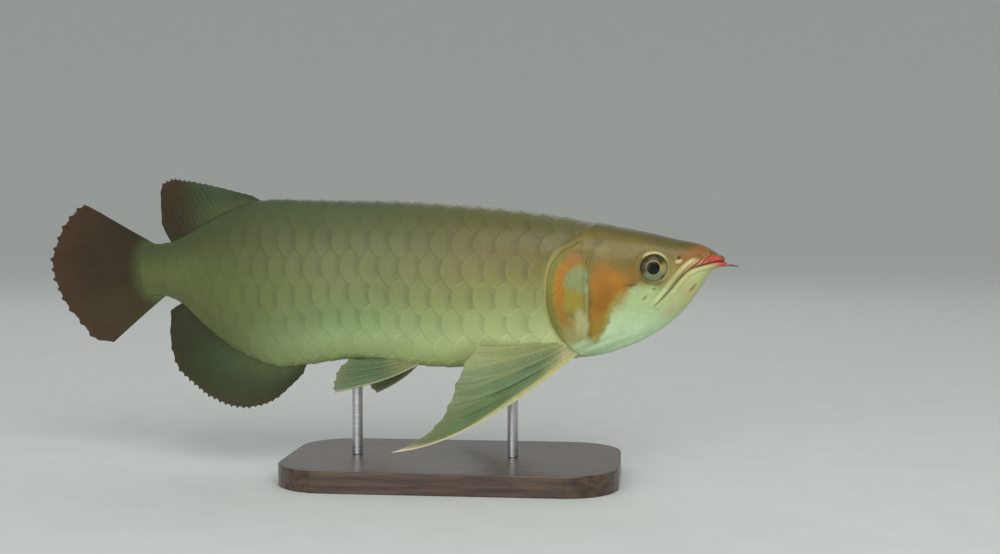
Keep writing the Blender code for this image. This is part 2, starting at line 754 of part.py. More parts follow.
def make_head(gill_covers, eyes):
    """The head down to its gill margins, with its plates, lips, nostrils, sockets and mouth."""
    stations = [(0.15 + HEAD_LENGTH * (k / 24) ** 1.55) * MM for k in range(25)]
    head = plain_body("head", stations, 36)
    head = kept_in(head, side_prism("head_side", GILL_MARGIN + AHEAD_OF_HEAD))
    pieces = []
    for side in (1, -1):
        pieces.append(patch("cheek", CHEEK_FRONT, CHEEK_REAR, side, CHEEK_LIFT, (3, 5)))
        pieces.append(patch("maxilla", MAXILLA_FRONT, MAXILLA_REAR, side, MAXILLA_LIFT, (2, 7)))
        centre, axes = eye_parts(side)
        pieces.append(ring_round_eye("orbit", centre, axes, ORBIT_RADIUS, ORBIT_RIM))
    pieces.append(mouth_tube("upper_lip", LIP_ABOVE, LIP_RADIUS))
    pieces.append(mouth_tube("lower_lip", LIP_BELOW, LIP_RADIUS))
    head = joined(head, pieces)
    for side in (1, -1):
        nostrils = []
        for back, height, size in NOSTRILS:
            point, normal = flank(back * MM, height * MM, side)
            ahead = normal.cross(Vector((0, 0, 1))).normalized()
            nostrils.append(ellipsoid("nostril", point, (ahead, normal.cross(ahead), normal),
                                      (size * MM, size * MM, NOSTRIL_DEPTH), 8, 6))
        head = cut(head, *nostrils)
    for thing in gill_covers + eyes:
        head = cut(head, inflated(thing))
    jaw_outline = MOUTH_LINE + JAW_HINGE_LINE + [(-12, -60)]
    jaw = kept_in(copy_of(head, "lower_jaw"), side_prism("jaw_side", jaw_outline))
    head = cut(head, grown(side_prism("jaw_room", jaw_outline)))
    head.name, jaw.name = "head", "lower_jaw"
    return head, jaw


def make_gill_cover(side):
    name = "gill_cover_left" if side > 0 else "gill_cover_right"
    return patch(name, GILL_COVER_FRONT, GILL_COVER_REAR, side, GILL_COVER_LIFT, (5, 10))


def make_eye(side):
    centre, axes = eye_parts(side)
    name = "eye_left" if side > 0 else "eye_right"
    return ellipsoid(name, centre, axes, (EYE_RADIUS, EYE_RADIUS, EYE_DEPTH), 20, 10)


def make_barbel(side, room):
    name = "barbel_left" if side > 0 else "barbel_right"
    root = Vector((-1.6 * MM, side * 1.7 * MM, 2.0 * MM))
    points, radii = [], []
    for k in range(9):
        t = k / 8
        reach = Vector((1.0, side * 0.16 * t, 0.03 - 0.12 * t)) * (BARBEL_LENGTH + 1.6 * MM) * t
        points.append(root + reach)
        radii.append(BARBEL_RADIUS * (1 - 0.62 * t))
    lip_room = mouth_tube("lip_room", LIP_BELOW, LIP_RADIUS + GAP)
    return cut(tube(name, points, radii, 3), copy_of(room), lip_room)


def make_trunk_and_tail(gill_covers):
    """The scaled body, parted behind the gills and at the vent."""
    body = scaled_body("trunk")
    body = cut(body, grown(side_prism("head_room", GILL_MARGIN + AHEAD_OF_HEAD)))
    tail_front = TAIL_STARTS / MM
    tail = kept_in(copy_of(body, "tail"), side_prism(
        "tail_side", [(tail_front, 75), *TAIL_END_MARGIN, (tail_front, -75)]))
    trunk = kept_in(body, side_prism("trunk_side", [(0, 75), (tail_front - GAP / MM, 75),
                                                    (tail_front - GAP / MM, -75), (0, -75)]))
    for cover in gill_covers:
        trunk = cut(trunk, inflated(cover))
    trunk.name, tail.name = "trunk", "tail"
    return trunk, tail


def make_median_fins(room):
    dorsal = median_fin("dorsal_fin", DORSAL_RAYS, 16, 5, bow=-0.6 * MM, curl=1.0 * MM)
    anal = median_fin("anal_fin", ANAL_RAYS, 22, 6, bow=0.8 * MM, curl=1.5 * MM)
    caudal = median_fin("caudal_fin", CAUDAL_RAYS, 15, 6, bow=0.0, curl=2.0 * MM)
    return [cut(fin, copy_of(room)) for fin in (dorsal, anal, caudal)]


def make_paired_fins(room, gill_covers):
    near = paired_fin("pectoral_fin_right", PECTORAL_RAYS, PECTORAL_ROOT, -1, 7, 9,
                      PECTORAL_BOW, PECTORAL_HOOK, PECTORAL_CUP)
    far = paired_fin("pectoral_fin_left", PECTORAL_RAYS, PECTORAL_ROOT, 1, 7, 9,
                     PECTORAL_BOW, PECTORAL_HOOK, PECTORAL_CUP, FAR_PECTORAL_SCALE)
    pectorals = [cut(fin, copy_of(room), *[inflated(cover) for cover in gill_covers])
                 for fin in (near, far)]
    pelvics = [paired_fin("pelvic_fin_right", PELVIC_RAYS_NEAR, PELVIC_ROOT, -1, 6, 6, bow=PELVIC_BOW),
               paired_fin("pelvic_fin_left", PELVIC_RAYS_FAR, PELVIC_ROOT, 1, 6, 6, bow=PELVIC_BOW)]
    return pectorals + [cut(fin, copy_of(room)) for fin in pelvics]


def make_base():
    """The flat base: a board with rounded corners."""
    outline = []
    for quarter in range(4):
        corner_x = (BASE_LENGTH / 2 - BASE_CORNER) * (1 if quarter in (0, 3) else -1)
        corner_y = (BASE_WIDTH / 2 - BASE_CORNER) * (1 if quarter in (0, 1) else -1)
        for k in range(9):
            angle = math.pi / 2 * (quarter + k / 8)
            outline.append((corner_x + BASE_CORNER * math.cos(angle),
                            corner_y + BASE_CORNER * math.sin(angle)))
    curve = bpy.data.curves.new("stand_base", "CURVE")
    curve.dimensions = "2D"
    curve.fill_mode = "BOTH"
    curve.extrude = BASE_THICKNESS / 2
    spline = curve.splines.new("POLY")
    spline.points.add(len(outline) - 1)
    for point, (x, y) in zip(spline.points, outline):
        point.co = (x, y, 0, 1)
    spline.use_cyclic_u = True
    board = new_object("stand_base", curve)
    board.location = (0, 0, BASE_THICKNESS / 2)
    board = as_mesh(board)
    bevel = board.modifiers.new("edge", "BEVEL")
    bevel.width = BASE_BEVEL
    bevel.segments = 2
    bevel.limit_method = "ANGLE"
    bevel.angle_limit = math.radians(60)
    board = as_mesh(board)
    board.name = "stand_base"
    return board


def make_rod(name, x, y, room):
    """A rod from the base up to the belly."""
    bottom, top = BASE_THICKNESS + GAP, AXIS_HEIGHT - 40 * MM
    shape = bmesh.new()
    bmesh.ops.create_cone(shape, cap_ends=True, segments=ROD_SIDES, radius1=ROD_RADIUS, radius2=ROD_RADIUS,
                          depth=top - bottom)
    mesh = bpy.data.meshes.new(name)
    shape.to_mesh(mesh)
    shape.free()
    mesh.transform(Matrix.Translation((x, y, (top + bottom) / 2)))
    return cut(new_object(name, mesh), copy_of(room))


def paint(thing, name, colour, roughness=0.45, metallic=0.0):
    """Gives the object its own material."""
    material = bpy.data.materials.new(name)
    material.use_nodes = True
    shader = material.node_tree.nodes["Principled BSDF"]
    shader.inputs["Base Color"].default_value = (*colour, 1)
    shader.inputs["Roughness"].default_value = roughness
    shader.inputs["Metallic"].default_value = metallic
    thing.data.materials.clear()
    thing.data.materials.append(material)
    if thing.name.startswith(("stand", "eye", "barbel")):
        thing.data.shade_smooth()
        thing.data.set_sharp_from_angle(angle=math.radians(40))


def axis_line(x):
    """y of the bent axis where it crosses this world x."""
    _, _, line_x, line_y = BEND
    return float(np.interp(-(x - CHIN_X), -line_x, line_y))


def main():
    for thing in list(bpy.data.objects):
        bpy.data.objects.remove(thing)

    gill_covers = [make_gill_cover(1), make_gill_cover(-1)]
    eyes = [make_eye(1), make_eye(-1)]
    head, jaw = make_head(gill_covers, eyes)
    trunk, tail = make_trunk_and_tail(gill_covers)
    room = body_room()
    barbels = [make_barbel(1, room), make_barbel(-1, room)]
    median = make_median_fins(room)
    paired = make_paired_fins(room, gill_covers)

    fish = [head, jaw, trunk, tail, *gill_covers, *eyes, *barbels, *median, *paired]
    for thing in [*fish, room]:
        bend_and_place(thing)

    base = make_base()
    rods = [make_rod("stand_rod_front", FRONT_ROD_X, axis_line(FRONT_ROD_X), room),
            make_rod("stand_rod_rear", REAR_ROD_X, axis_line(REAR_ROD_X), room)]
    remove(room)

    paint(head, "head", OLIVE)
    paint(jaw, "lower_jaw", PALE)
    paint(trunk, "trunk", OLIVE, 0.35)
    paint(tail, "tail", OLIVE, 0.35)
    for cover in gill_covers:
        paint(cover, cover.name, ORANGE, 0.3)
    for eye in eyes:
        paint(eye, eye.name, EYE_DARK, 0.1)
    for barbel in barbels:
        paint(barbel, barbel.name, RED)
    for fin in median:
        paint(fin, fin.name, MAROON, 0.5)
    for fin in paired:
        paint(fin, fin.name, FIN_PALE, 0.5)
    paint(base, "stand_base", BASE_WOOD, 0.35)
    for rod in rods:
        paint(rod, rod.name, STEEL, 0.25, 1.0)

    model = bpy.data.collections.new(MODEL)
    bpy.context.scene.collection.children.link(model)
    for thing in [*fish, base, *rods]:
        bpy.context.scene.collection.objects.unlink(thing)
        model.objects.link(thing)


main()
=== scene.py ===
"""The looks of a life-size display model of an Asian arowana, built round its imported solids.

As in the solids, the fish is shaped straight, with its snout towards +X and its left side towards +Y, then
bent about the vertical and set over its base. `back` is a distance behind the tip of the chin, `share` is
the way round a section from the ridge of the back (0) to the belly (1), and flank features are placed in a
side view by (back, height) in millimetres. Paints are given as they look on a screen, from 0 to 255.
"""

import math

import bpy
import numpy as np
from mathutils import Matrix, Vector


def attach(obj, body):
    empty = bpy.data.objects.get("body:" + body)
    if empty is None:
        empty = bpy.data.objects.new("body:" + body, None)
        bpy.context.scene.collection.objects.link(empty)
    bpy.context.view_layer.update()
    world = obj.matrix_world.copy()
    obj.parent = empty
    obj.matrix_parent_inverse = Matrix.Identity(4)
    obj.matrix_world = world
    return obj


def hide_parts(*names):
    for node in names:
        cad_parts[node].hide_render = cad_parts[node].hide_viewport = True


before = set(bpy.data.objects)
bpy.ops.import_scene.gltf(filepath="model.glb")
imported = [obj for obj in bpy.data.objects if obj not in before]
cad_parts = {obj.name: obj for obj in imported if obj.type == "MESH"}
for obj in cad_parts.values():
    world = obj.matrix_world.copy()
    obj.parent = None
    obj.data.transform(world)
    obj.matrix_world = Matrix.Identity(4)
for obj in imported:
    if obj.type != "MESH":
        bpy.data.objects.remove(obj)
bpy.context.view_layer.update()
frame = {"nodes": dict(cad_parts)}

MM = 0.001
ROOT = "root"

# Where the fish stands and how it bends.
CHIN_X = 152.7 * MM
AXIS_HEIGHT = 120 * MM
BEND_DEGREES = 17.0
BEND_FROM, BEND_TO = 130 * MM, 400 * MM

# The camera, which looks at the fish's right side as the photograph does.
VIEW_AZIMUTH, VIEW_ELEVATION = 6.0, 3.0
VIEW_DISTANCE = 0.8
VIEW_TARGET = (0.0267, 0.0, 0.1146)
VIEW_ANGLE = 38.99

# The floor: flat for this far from the middle, then curving up.
FLOOR_FLAT, FLOOR_CURVE = 4.0, 2.2
FLOOR_AROUND = 96

# The lamps: name, place, width and power. The sky lights all sides evenly.
LAMPS = [("key", (0.5, -1.3, 1.1), 1.2, 14), ("fill", (-0.4, -1.3, 0.25), 1.2, 9),
         ("rear", (-0.3, 1.4, 1.2), 1.2, 3)]
SKY, SKY_STRENGTH = (0.83, 0.85, 0.84), 0.6

# The body's sections, in millimetres: back, top, bottom, level of the widest point, half width,
# and how square the section is above and below that level (2 is an ellipse).
BODY_SECTIONS = [
    (0.0, 3.4, 1.9, 2.6, 0.9, 2.0, 2.0),
    (1.5, 5.9, 1.2, 3.3, 3.6, 2.0, 2.0),
    (4.0, 8.1, 0.1, 3.6, 5.5, 2.1, 2.0),
    (8.0, 10.9, -2.4, 3.0, 7.3, 2.3, 2.0),
    (14.0, 13.6, -11.9, 1.5, 9.2, 2.5, 2.0),
    (20.0, 15.0, -20.4, 1.0, 11.0, 2.6, 1.95),
    (30.0, 17.0, -30.4, 0.5, 13.6, 2.6, 1.9),
    (40.0, 19.4, -37.3, 0.0, 15.6, 2.6, 1.9),
    (55.0, 22.4, -44.5, -1.0, 17.8, 2.5, 1.9),
    (75.0, 25.8, -50.1, -3.0, 20.0, 2.4, 1.9),
    (100.0, 30.3, -52.2, -4.0, 21.6, 2.3, 1.9),
    (130.0, 33.9, -55.4, -4.0, 22.4, 2.25, 1.85),
    (155.0, 36.0, -57.0, -4.0, 22.4, 2.2, 1.85),
    (185.0, 37.7, -55.3, -4.0, 21.4, 2.15, 1.85),
    (215.0, 38.2, -53.5, -4.0, 19.2, 2.1, 1.85),
    (240.0, 38.5, -57.3, -5.0, 16.6, 2.05, 1.85),
    (256.0, 38.9, -59.0, -5.5, 14.8, 2.0, 1.85),
    (272.0, 37.2, -54.8, -5.5, 12.6, 1.95, 1.85),
    (290.0, 30.9, -45.8, -5.0, 10.2, 1.95, 1.9),
    (306.0, 23.0, -33.8, -4.5, 8.2, 1.95, 1.95),
    (318.0, 16.6, -23.6, -3.8, 6.8, 1.95, 1.95),
    (328.0, 13.0, -19.4, -3.3, 5.6, 2.0, 2.0),
    (338.0, 12.5, -19.0, -3.3, 4.0, 2.0, 2.0),
    (347.0, 12.9, -19.4, -3.3, 2.2, 2.0, 2.0),
    (358.0, 13.3, -19.8, -3.3, 1.3, 2.0, 2.0),
]
RING_SAMPLES = 193
TABLE_STATIONS = 1100
TABLE_SHARES = 257

# Edges and lines in a side view, in millimetres.
GILL_MARGIN = [(64, 60), (68, 31), (75, 23.5), (83, 17.0), (91, 11), (96.4, 3), (98.6, -8), (98.6, -20),
               (95.6, -31), (90.6, -39.5), (86.0, -44.5), (83.5, -49.5), (83.0, -75)]
TAIL_END_MARGIN = [(340, 37), (341, 13.5), (343.5, 6), (345, -3.3), (343.5, -12.5), (341, -20.5),
                   (340, -44)]
MOUTH_LINE = [(0.8, 4.1), (5, 3.9), (10.5, 2.7), (15.5, 1.4), (20, -0.6), (25, -5.2), (30.7, -12.2),
              (38.0, -19.6)]
MOUTH_END = 44
MAXILLA_RIDGE = [(40.4, -19.4), (33.6, -10.9), (27.8, -3.4), (23.4, 1.4), (18.5, 5.2), (11.5, 7.4)]
CHEEK_FRONT = [(56, -27), (51.5, -16), (49.4, -6), (50.2, 5), (52.5, 9.5)]
CHEEK_REAR = [(66.0, -38), (72.4, -27), (75.2, -16), (75.6, -4), (74.2, 6), (69.0, 12.5)]
GILL_COVER_FRONT = [(79.0, -43.5), (78.0, -30), (77.6, -15), (77.6, 0), (78.4, 12.5)]
GILL_COVER_REAR = [(79.0, -50.0), (87.0, -42.5), (95.6, -29.5), (98.2, -13), (96.2, 1.5), (90.0, 9.5),
                   (82.5, 13.6)]
# Where the pale throat begins, from the snout back.
PALE_MARGIN = [(5, 2.2), (12, 1.0), (18, -1.5), (24, -6.0), (29, -8.6), (35, -8.8), (41, -8.4),
               (48, -8.6), (54, -9.8), (59, -16), (64, -26), (69, -37), (80, -45.5), (92, -52)]

# Nostrils: back, height and size. Small creases of the head: back, height, length and slope.
NOSTRILS = [(8.2, 8.9, 0.7), (25.6, 6.2, 0.95)]
CREASES = [(52.3, -8.8, 7.0, -0.1), (44.4, -15.9, 3.0, -0.8), (39.2, -11.0, 1.8, -0.3),
           (17.8, -10.4, 5.4, -0.88)]
# The folds between the maxilla and the snout: radians a millimetre, and how steeply they run.
FOLD_PITCH, FOLD_SLOPE = 2.5, 0.85
# How far painted edges wander.
PAINT_DRIFT = 0.55

# Scales, in the lattice of the solids: rows from the ridge of the back to the belly.
SCALE_ROWS = 7
SCALE_FRONT = 95 * MM
SCALE_LENGTH_FRONT, SCALE_LENGTH_REAR = 12.6 * MM, 9.4 * MM
SCALED_LENGTH = 242 * MM
FIRST_SCALE, LAST_SCALE = -5, 47
ROWS_GATHER_FROM, ROWS_GATHER_TO = 200 * MM, 335 * MM
ROWS_GATHER = 0.75
SCALE_CREST, SCALE_SHOULDER, SCALE_HALF_WIDTH = 0.58, -0.1, 2 / 3

# The eye.
EYE_BACK, EYE_HEIGHT = 39.4, 0.8
EYE_RADIUS, EYE_DEPTH, EYE_SINKS = 8.3 * MM, 3.9 * MM, 2.0 * MM
ORBIT_RADIUS = 7.2

# Fin rays: (share of the way along the root, back and height of the root, back and height of the tip).
DORSAL_RAYS = [(0.0, 266.5, 38.6, 272.5, 40.8), (0.2, 279, 35.2, 289.8, 45.0),
               (0.4, 291, 30.5, 304.5, 48.4), (0.6, 302.5, 24.8, 317.5, 50.6),
               (0.75, 310.5, 20.4, 326.5, 51.2), (0.88, 318.5, 16.3, 333.5, 45.4),
               (1.0, 325.5, 13.6, 333.2, 25.0)]
ANAL_RAYS = [(0.0, 238.5, -57.4, 241.5, -62.5), (0.07, 243.5, -58.2, 248.5, -69.5),
             (0.15, 249, -58.8, 257, -77.0), (0.3, 260.5, -58.2, 271, -83.4),
             (0.45, 272, -54.8, 285.5, -83.9), (0.6, 283.5, -49.4, 300, -79.0),
             (0.75, 295, -42.4, 313, -70.6), (0.87, 304.5, -34.8, 324.2, -61.0),
             (0.94, 311, -29.2, 328.6, -47.0), (1.0, 318.5, -23.6, 328, -28.0)]
CAUDAL_RAYS = [(0.0, 336, 11.4, 384, 33.6), (0.06, 336.8, 10.2, 390, 35.6), (0.13, 338, 8.6, 396.5, 33.8),
               (0.22, 339.3, 6.2, 404, 26.4), (0.35, 340.5, 2.6, 411, 13.5), (0.5, 341, -2.6, 414.2, -1.5),
               (0.64, 340.5, -7.8, 410.4, -14.5), (0.77, 339.5, -12.2, 405, -26.5),
               (0.87, 338, -15.2, 394.5, -38.2), (0.94, 335, -17.4, 387, -46.0),
               (0.975, 332.5, -18.4, 381, -49.3), (1.0, 330.5, -18.9, 371.5, -49.8)]
MEDIAN_SINK = 5 * MM

# A paired fin's rays: (share along the root, back, outwards and height of the tip from the root).
PECTORAL_RAYS = [(0.0, 96.5, 37, -51.5), (0.17, 83.5, 32.5, -46.5), (0.33, 73, 28.5, -39.5),
                 (0.5, 65, 24, -30), (0.67, 59.5, 18, -19.5), (0.83, 54.5, 12, -9.5), (1.0, 46, 8, -1.0)]
PECTORAL_ROOT = [(83.5, -47.5), (90.5, -41.5)]
# How far its rays bow and hook, and its web cups.
PECTORAL_BEND = (6.8 * MM, 3.4 * MM, 2 * MM)
# The far fin is held wider than the near one: how its rays are scaled back, outwards and in height.
FAR_PECTORAL_SCALE = (0.8, 1.3, 0.9)
PELVIC_RAYS_NEAR = [(0.0, 44.5, 9, -16.5), (0.33, 42.5, 7.5, -13), (0.67, 36.5, 6, -5.5), (1.0, 27, 4, 0)]
PELVIC_RAYS_FAR = [(0.0, 31, 27, -22), (0.33, 32, 24, -18), (0.67, 30, 19, -11), (1.0, 24, 13, -5)]
PELVIC_ROOT = [(174.5, -54.9), (184.5, -52.4)]
PELVIC_BOW = 2.5 * MM
PAIRED_SINK = 5 * MM


def linear(red, green, blue):
    """A colour given as 0 to 255 on a screen, as the light that it stands for."""
    value = np.array([red, green, blue]) / 255
    return np.where(value <= 0.04045, value / 12.92, ((value + 0.055) / 1.055) ** 2.4)


class Curve:
    """A smooth curve through rows of (position, value, value...)."""

    def __init__(self, rows):
        rows = np.array(rows, float)
        self.at, self.value = rows[:, 0], rows[:, 1:]
        step = np.diff(self.at)[:, None]
        slope = np.diff(self.value, axis=0) / step
        inner = (slope[:-1] * step[1:] + slope[1:] * step[:-1]) / (step[1:] + step[:-1])
        self.slope = np.concatenate([slope[:1], inner, slope[-1:]])

    def __call__(self, x):
        x = np.clip(np.asarray(x, float), self.at[0], self.at[-1])
        k = np.clip(np.searchsorted(self.at, x) - 1, 0, len(self.at) - 2)
        step = self.at[k + 1] - self.at[k]
        t = ((x - self.at[k]) / step)[..., None]
        step = step[..., None]
        return ((2 * t**3 - 3 * t**2 + 1) * self.value[k]
                + (t**3 - 2 * t**2 + t) * step * self.slope[k]
                + (3 * t**2 - 2 * t**3) * self.value[k + 1]
                + (t**3 - t**2) * step * self.slope[k + 1])


def body_curve():
    """The sections against the square root of the distance back, so that the snout comes out round."""
    rows = np.array(BODY_SECTIONS)
    rows[:, 1:5] *= MM
    rows[:, 0] = np.sqrt(rows[:, 0] * MM)
    return Curve(rows)


BODY = body_curve()


def rise(x, low, high):
    """0 below low and 1 above high, with a smooth climb between."""
    t = np.clip((x - low) / (high - low), 0, 1)
    return t * t * (3 - 2 * t)


def fall(x, low, high):
    return 1 - rise(x, low, high)


def window(x, low, high, soft):
    """1 between low and high, and 0 outside, with soft edges."""
    return rise(x, low - soft, low + soft) * fall(x, high - soft, high + soft)


def bump(x, centre, width):
    """A soft bump of height 1."""
    return np.exp(-(((x - centre) / width) ** 2))


def dome(x, centre, half_width, power=0.65):
    """A round-topped ridge of height 1 that ends sharply."""
    return np.maximum(1 - ((x - centre) / half_width) ** 2, 0) ** power


def sections(back):
    return np.moveaxis(BODY(np.sqrt(np.maximum(back, 0))), -1, 0)


def skin_table():
    """Points and normals of the plain left side, on a grid of the square root of `back` and of share."""
    roots = np.linspace(0, math.sqrt(BODY_SECTIONS[-1][0] * MM), TABLE_STATIONS)
    shares = np.linspace(0, 1, TABLE_SHARES)
    angle = np.linspace(math.pi / 2, -math.pi / 2, RING_SAMPLES)
    up, out = np.sin(angle), np.abs(np.cos(angle))
    points = np.empty((TABLE_STATIONS, TABLE_SHARES, 3))
    for k, root in enumerate(roots):
        top, bottom, level, width, above, below = BODY(root)
        power = np.where(up > 0, above, below)
        y = width * out ** (2 / power)
        reach = np.where(up > 0, top - level, level - bottom)
        z = level + np.sign(up) * reach * np.abs(up) ** (2 / power)
        along = np.concatenate([[0], np.cumsum(np.hypot(np.diff(y), np.diff(z)))])
        points[k, :, 0] = -root * root
        points[k, :, 1] = np.interp(shares * along[-1], along, y)
        points[k, :, 2] = np.interp(shares * along[-1], along, z)
    normals = np.cross(np.gradient(points, axis=1), np.gradient(points, axis=0))
    normals[:, 0] = normals[:, 1] * (1, 0, 1)
    normals[:, -1] = normals[:, -2] * (1, 0, 1)
    length = np.linalg.norm(normals, axis=2, keepdims=True)
    normals /= np.maximum(length, 1e-18)
    normals[0] = (1, 0, 0)
    middle = sections(roots**2)[2][:, None]
    outward = points[..., 1] * normals[..., 1] + (points[..., 2] - middle) * normals[..., 2]
    return roots, points, normals * np.sign(outward.sum())


TABLE_ROOTS, TABLE_POINTS, TABLE_NORMALS = skin_table()


def on_skin(back, turn):
    """Points and normals of the plain body: turn runs 0 to 1 down the left side and 1 to 2 up the right."""
    back, turn = np.broadcast_arrays(np.asarray(back, float), np.asarray(turn, float))
    turn = turn % 2
    side = np.where(turn <= 1, 1.0, -1.0)
    share = np.where(turn <= 1, turn, 2 - turn)
    across = np.clip(np.sqrt(np.maximum(back, 0)) / TABLE_ROOTS[-1], 0, 1) * (TABLE_STATIONS - 1)
    down = np.clip(share, 0, 1) * (TABLE_SHARES - 1)
    i = np.minimum(across.astype(int), TABLE_STATIONS - 2)
    j = np.minimum(down.astype(int), TABLE_SHARES - 2)
    p, q = (across - i)[..., None], (down - j)[..., None]
    found = []
    for table in (TABLE_POINTS, TABLE_NORMALS):
        value = ((1 - p) * ((1 - q) * table[i, j] + q * table[i, j + 1])
                 + p * ((1 - q) * table[i + 1, j] + q * table[i + 1, j + 1]))
        value = value * np.stack([np.ones_like(side), side, np.ones_like(side)], axis=-1)
        found.append(value)
    points, normals = found
    return points, normals / np.linalg.norm(normals, axis=-1, keepdims=True)


def side_y(back, height):
    """How far out the flank of the plain body is, at this distance back and height."""
    top, bottom, level, width, above, below = sections(back)
    up = height > level
    reach = np.where(up, top - level, level - bottom)
    power = np.where(up, above, below)
    share = np.minimum(np.abs(height - level) / reach, 1.0)
    return width * (1 - share**power) ** (1 / power)


def flank(back, height, side=1):
    """The point of the flank in a side view, and the normal there."""
    d = 0.4 * MM
    y = float(side_y(back, height))
    slope_x = float(side_y(back - d, height) - side_y(back + d, height)) / (2 * d)
    slope_z = float(side_y(back, height + d) - side_y(back, height - d)) / (2 * d)
    normal = Vector((-slope_x, 1, -slope_z)).normalized()
    return Vector((-back, side * y, height)), Vector((normal.x, side * normal.y, normal.z))


def bend_table():
    """The line that the straight axis becomes: for distances back, the heading, x and y."""
    back = np.arange(0, 500.5, 0.5) * MM
    heading = math.radians(BEND_DEGREES) * rise(back, BEND_FROM, BEND_TO)
    step = np.diff(back)
    x = np.concatenate([[0], np.cumsum(-np.cos((heading[1:] + heading[:-1]) / 2) * step)])
    y = np.concatenate([[0], np.cumsum(np.sin((heading[1:] + heading[:-1]) / 2) * step)])
    return back, heading, x, y


BEND = bend_table()


def placed(points):
    """Points of the straight fish, bent about the vertical and set over the base."""
    back = -points[..., 0]
    table_back, heading, x, y = BEND
    behind = np.clip(back, 0, None)
    turn = np.interp(behind, table_back, heading)
    new_x = np.interp(behind, table_back, x) + np.sin(turn) * points[..., 1] + np.clip(-back, 0, None)
    new_y = np.interp(behind, table_back, y) + np.cos(turn) * points[..., 1]
    return np.stack([new_x + CHIN_X, new_y, points[..., 2] + AXIS_HEIGHT], axis=-1)


class Line:
    """A smooth line in a side view, which tells how far points lie from it."""

    def __init__(self, points, count=48):
        rows = [(k, *point) for k, point in enumerate(points)]
        self.points = Curve(rows)(np.linspace(0, len(points) - 1, count))
        self.length = np.linalg.norm(np.diff(self.points, axis=0), axis=1)
        self.start = np.concatenate([[0], np.cumsum(self.length)])

    def off(self, a, z):
        """Signed distances, positive to the left of the line's direction, and shares of the way along it."""
        best = np.full(a.shape, np.inf)
        signed, along = np.zeros(a.shape), np.zeros(a.shape)
        for k, (near, far) in enumerate(zip(self.points, self.points[1:])):
            way = (far - near) / self.length[k]
            ahead = (a - near[0]) * way[0] + (z - near[1]) * way[1]
            across = (z - near[1]) * way[0] - (a - near[0]) * way[1]
            held = np.clip(ahead, 0, self.length[k])
            distance = np.hypot(ahead - held, across)
            closer = distance < best
            best = np.where(closer, distance, best)
            signed = np.where(closer, np.where(across < 0, -distance, distance), signed)
            along = np.where(closer, self.start[k] + held, along)
        return signed, along / self.start[-1]

    def aside(self, a, z):
        return self.off(a, z)[0]


MOUTH = Line(MOUTH_LINE)
MAXILLA = Line(MAXILLA_RIDGE)
CHEEK_AHEAD, CHEEK_BEHIND = Line(CHEEK_FRONT), Line(CHEEK_REAR)
COVER_AHEAD, COVER_BEHIND = Line(GILL_COVER_FRONT), Line(GILL_COVER_REAR)
MARGIN = Line(GILL_MARGIN[::-1])
PALE_EDGE = Line(PALE_MARGIN)


def mouth_gap(a, z):
    """Signed distance from the line of the mouth, positive above it, and the share of the way along it."""
    gap, along = MOUTH.off(a, z)
    front, level = MOUTH_LINE[0]
    return np.where(a < front, z - level, gap), np.where(a < front, 0, along)


def maxilla_folds(a, z, gap):
    """How far a place lies in the folded skin over the mouth, and 0 to 1 from a fold's foot to its crest."""
    ridge = MAXILLA.aside(a, z)
    folds = window(a, 6.5, 24, 3.0) * window(ridge, 0.6, 6.5, 0.8) * rise(gap, 0.4, 1.4)
    return folds, 0.5 + 0.5 * np.sin(FOLD_PITCH * (a * FOLD_SLOPE + z) + 0.6 * np.sin(0.9 * a))


def near_eye(a, z):
    """The distance from the middle of the eye, and how much of it is upwards and how much ahead."""
    distance = np.hypot(a - EYE_BACK, z - EYE_HEIGHT)
    held = np.maximum(distance, 1e-6)
    return distance, (z - EYE_HEIGHT) / held, (EYE_BACK - a) / held


def turned(a, z, centre, turn):
    """Places counted from a centre, along a slope and across it."""
    da, dz = a - centre[0], z - centre[1]
    return da * math.cos(turn) + dz * math.sin(turn), dz * math.cos(turn) - da * math.sin(turn)


def mouth_relief(a, z):
    """The lips, the maxilla and the folds over the upper lip."""
    gap, along = mouth_gap(a, z)
    lips = dome(gap, 1.7, 1.65) * (1 - 0.75 * rise(along, 0.12, 0.42))
    lips += 0.85 * dome(gap, -1.55, 1.5) * (1 - 0.6 * rise(along, 0.3, 0.8))
    lips -= bump(gap, 0, 0.42) * (1 - 0.5 * rise(along, 0.3, 0.6)) * fall(along, 0.95, 1.0)
    ridge, way = MAXILLA.off(a, z)
    maxilla = 0.55 * rise(ridge, 0, 0.8) + 0.5 * bump(ridge, 0.75, 0.6) - 0.5 * bump(ridge, -0.7, 0.55)
    maxilla *= window(way, 0.03, 0.97, 0.04) * (gap > 0)
    folds, stripe = maxilla_folds(a, z, gap)
    return (lips + maxilla) * (a < MOUTH_END) + 0.42 * folds * (stripe - 0.5)


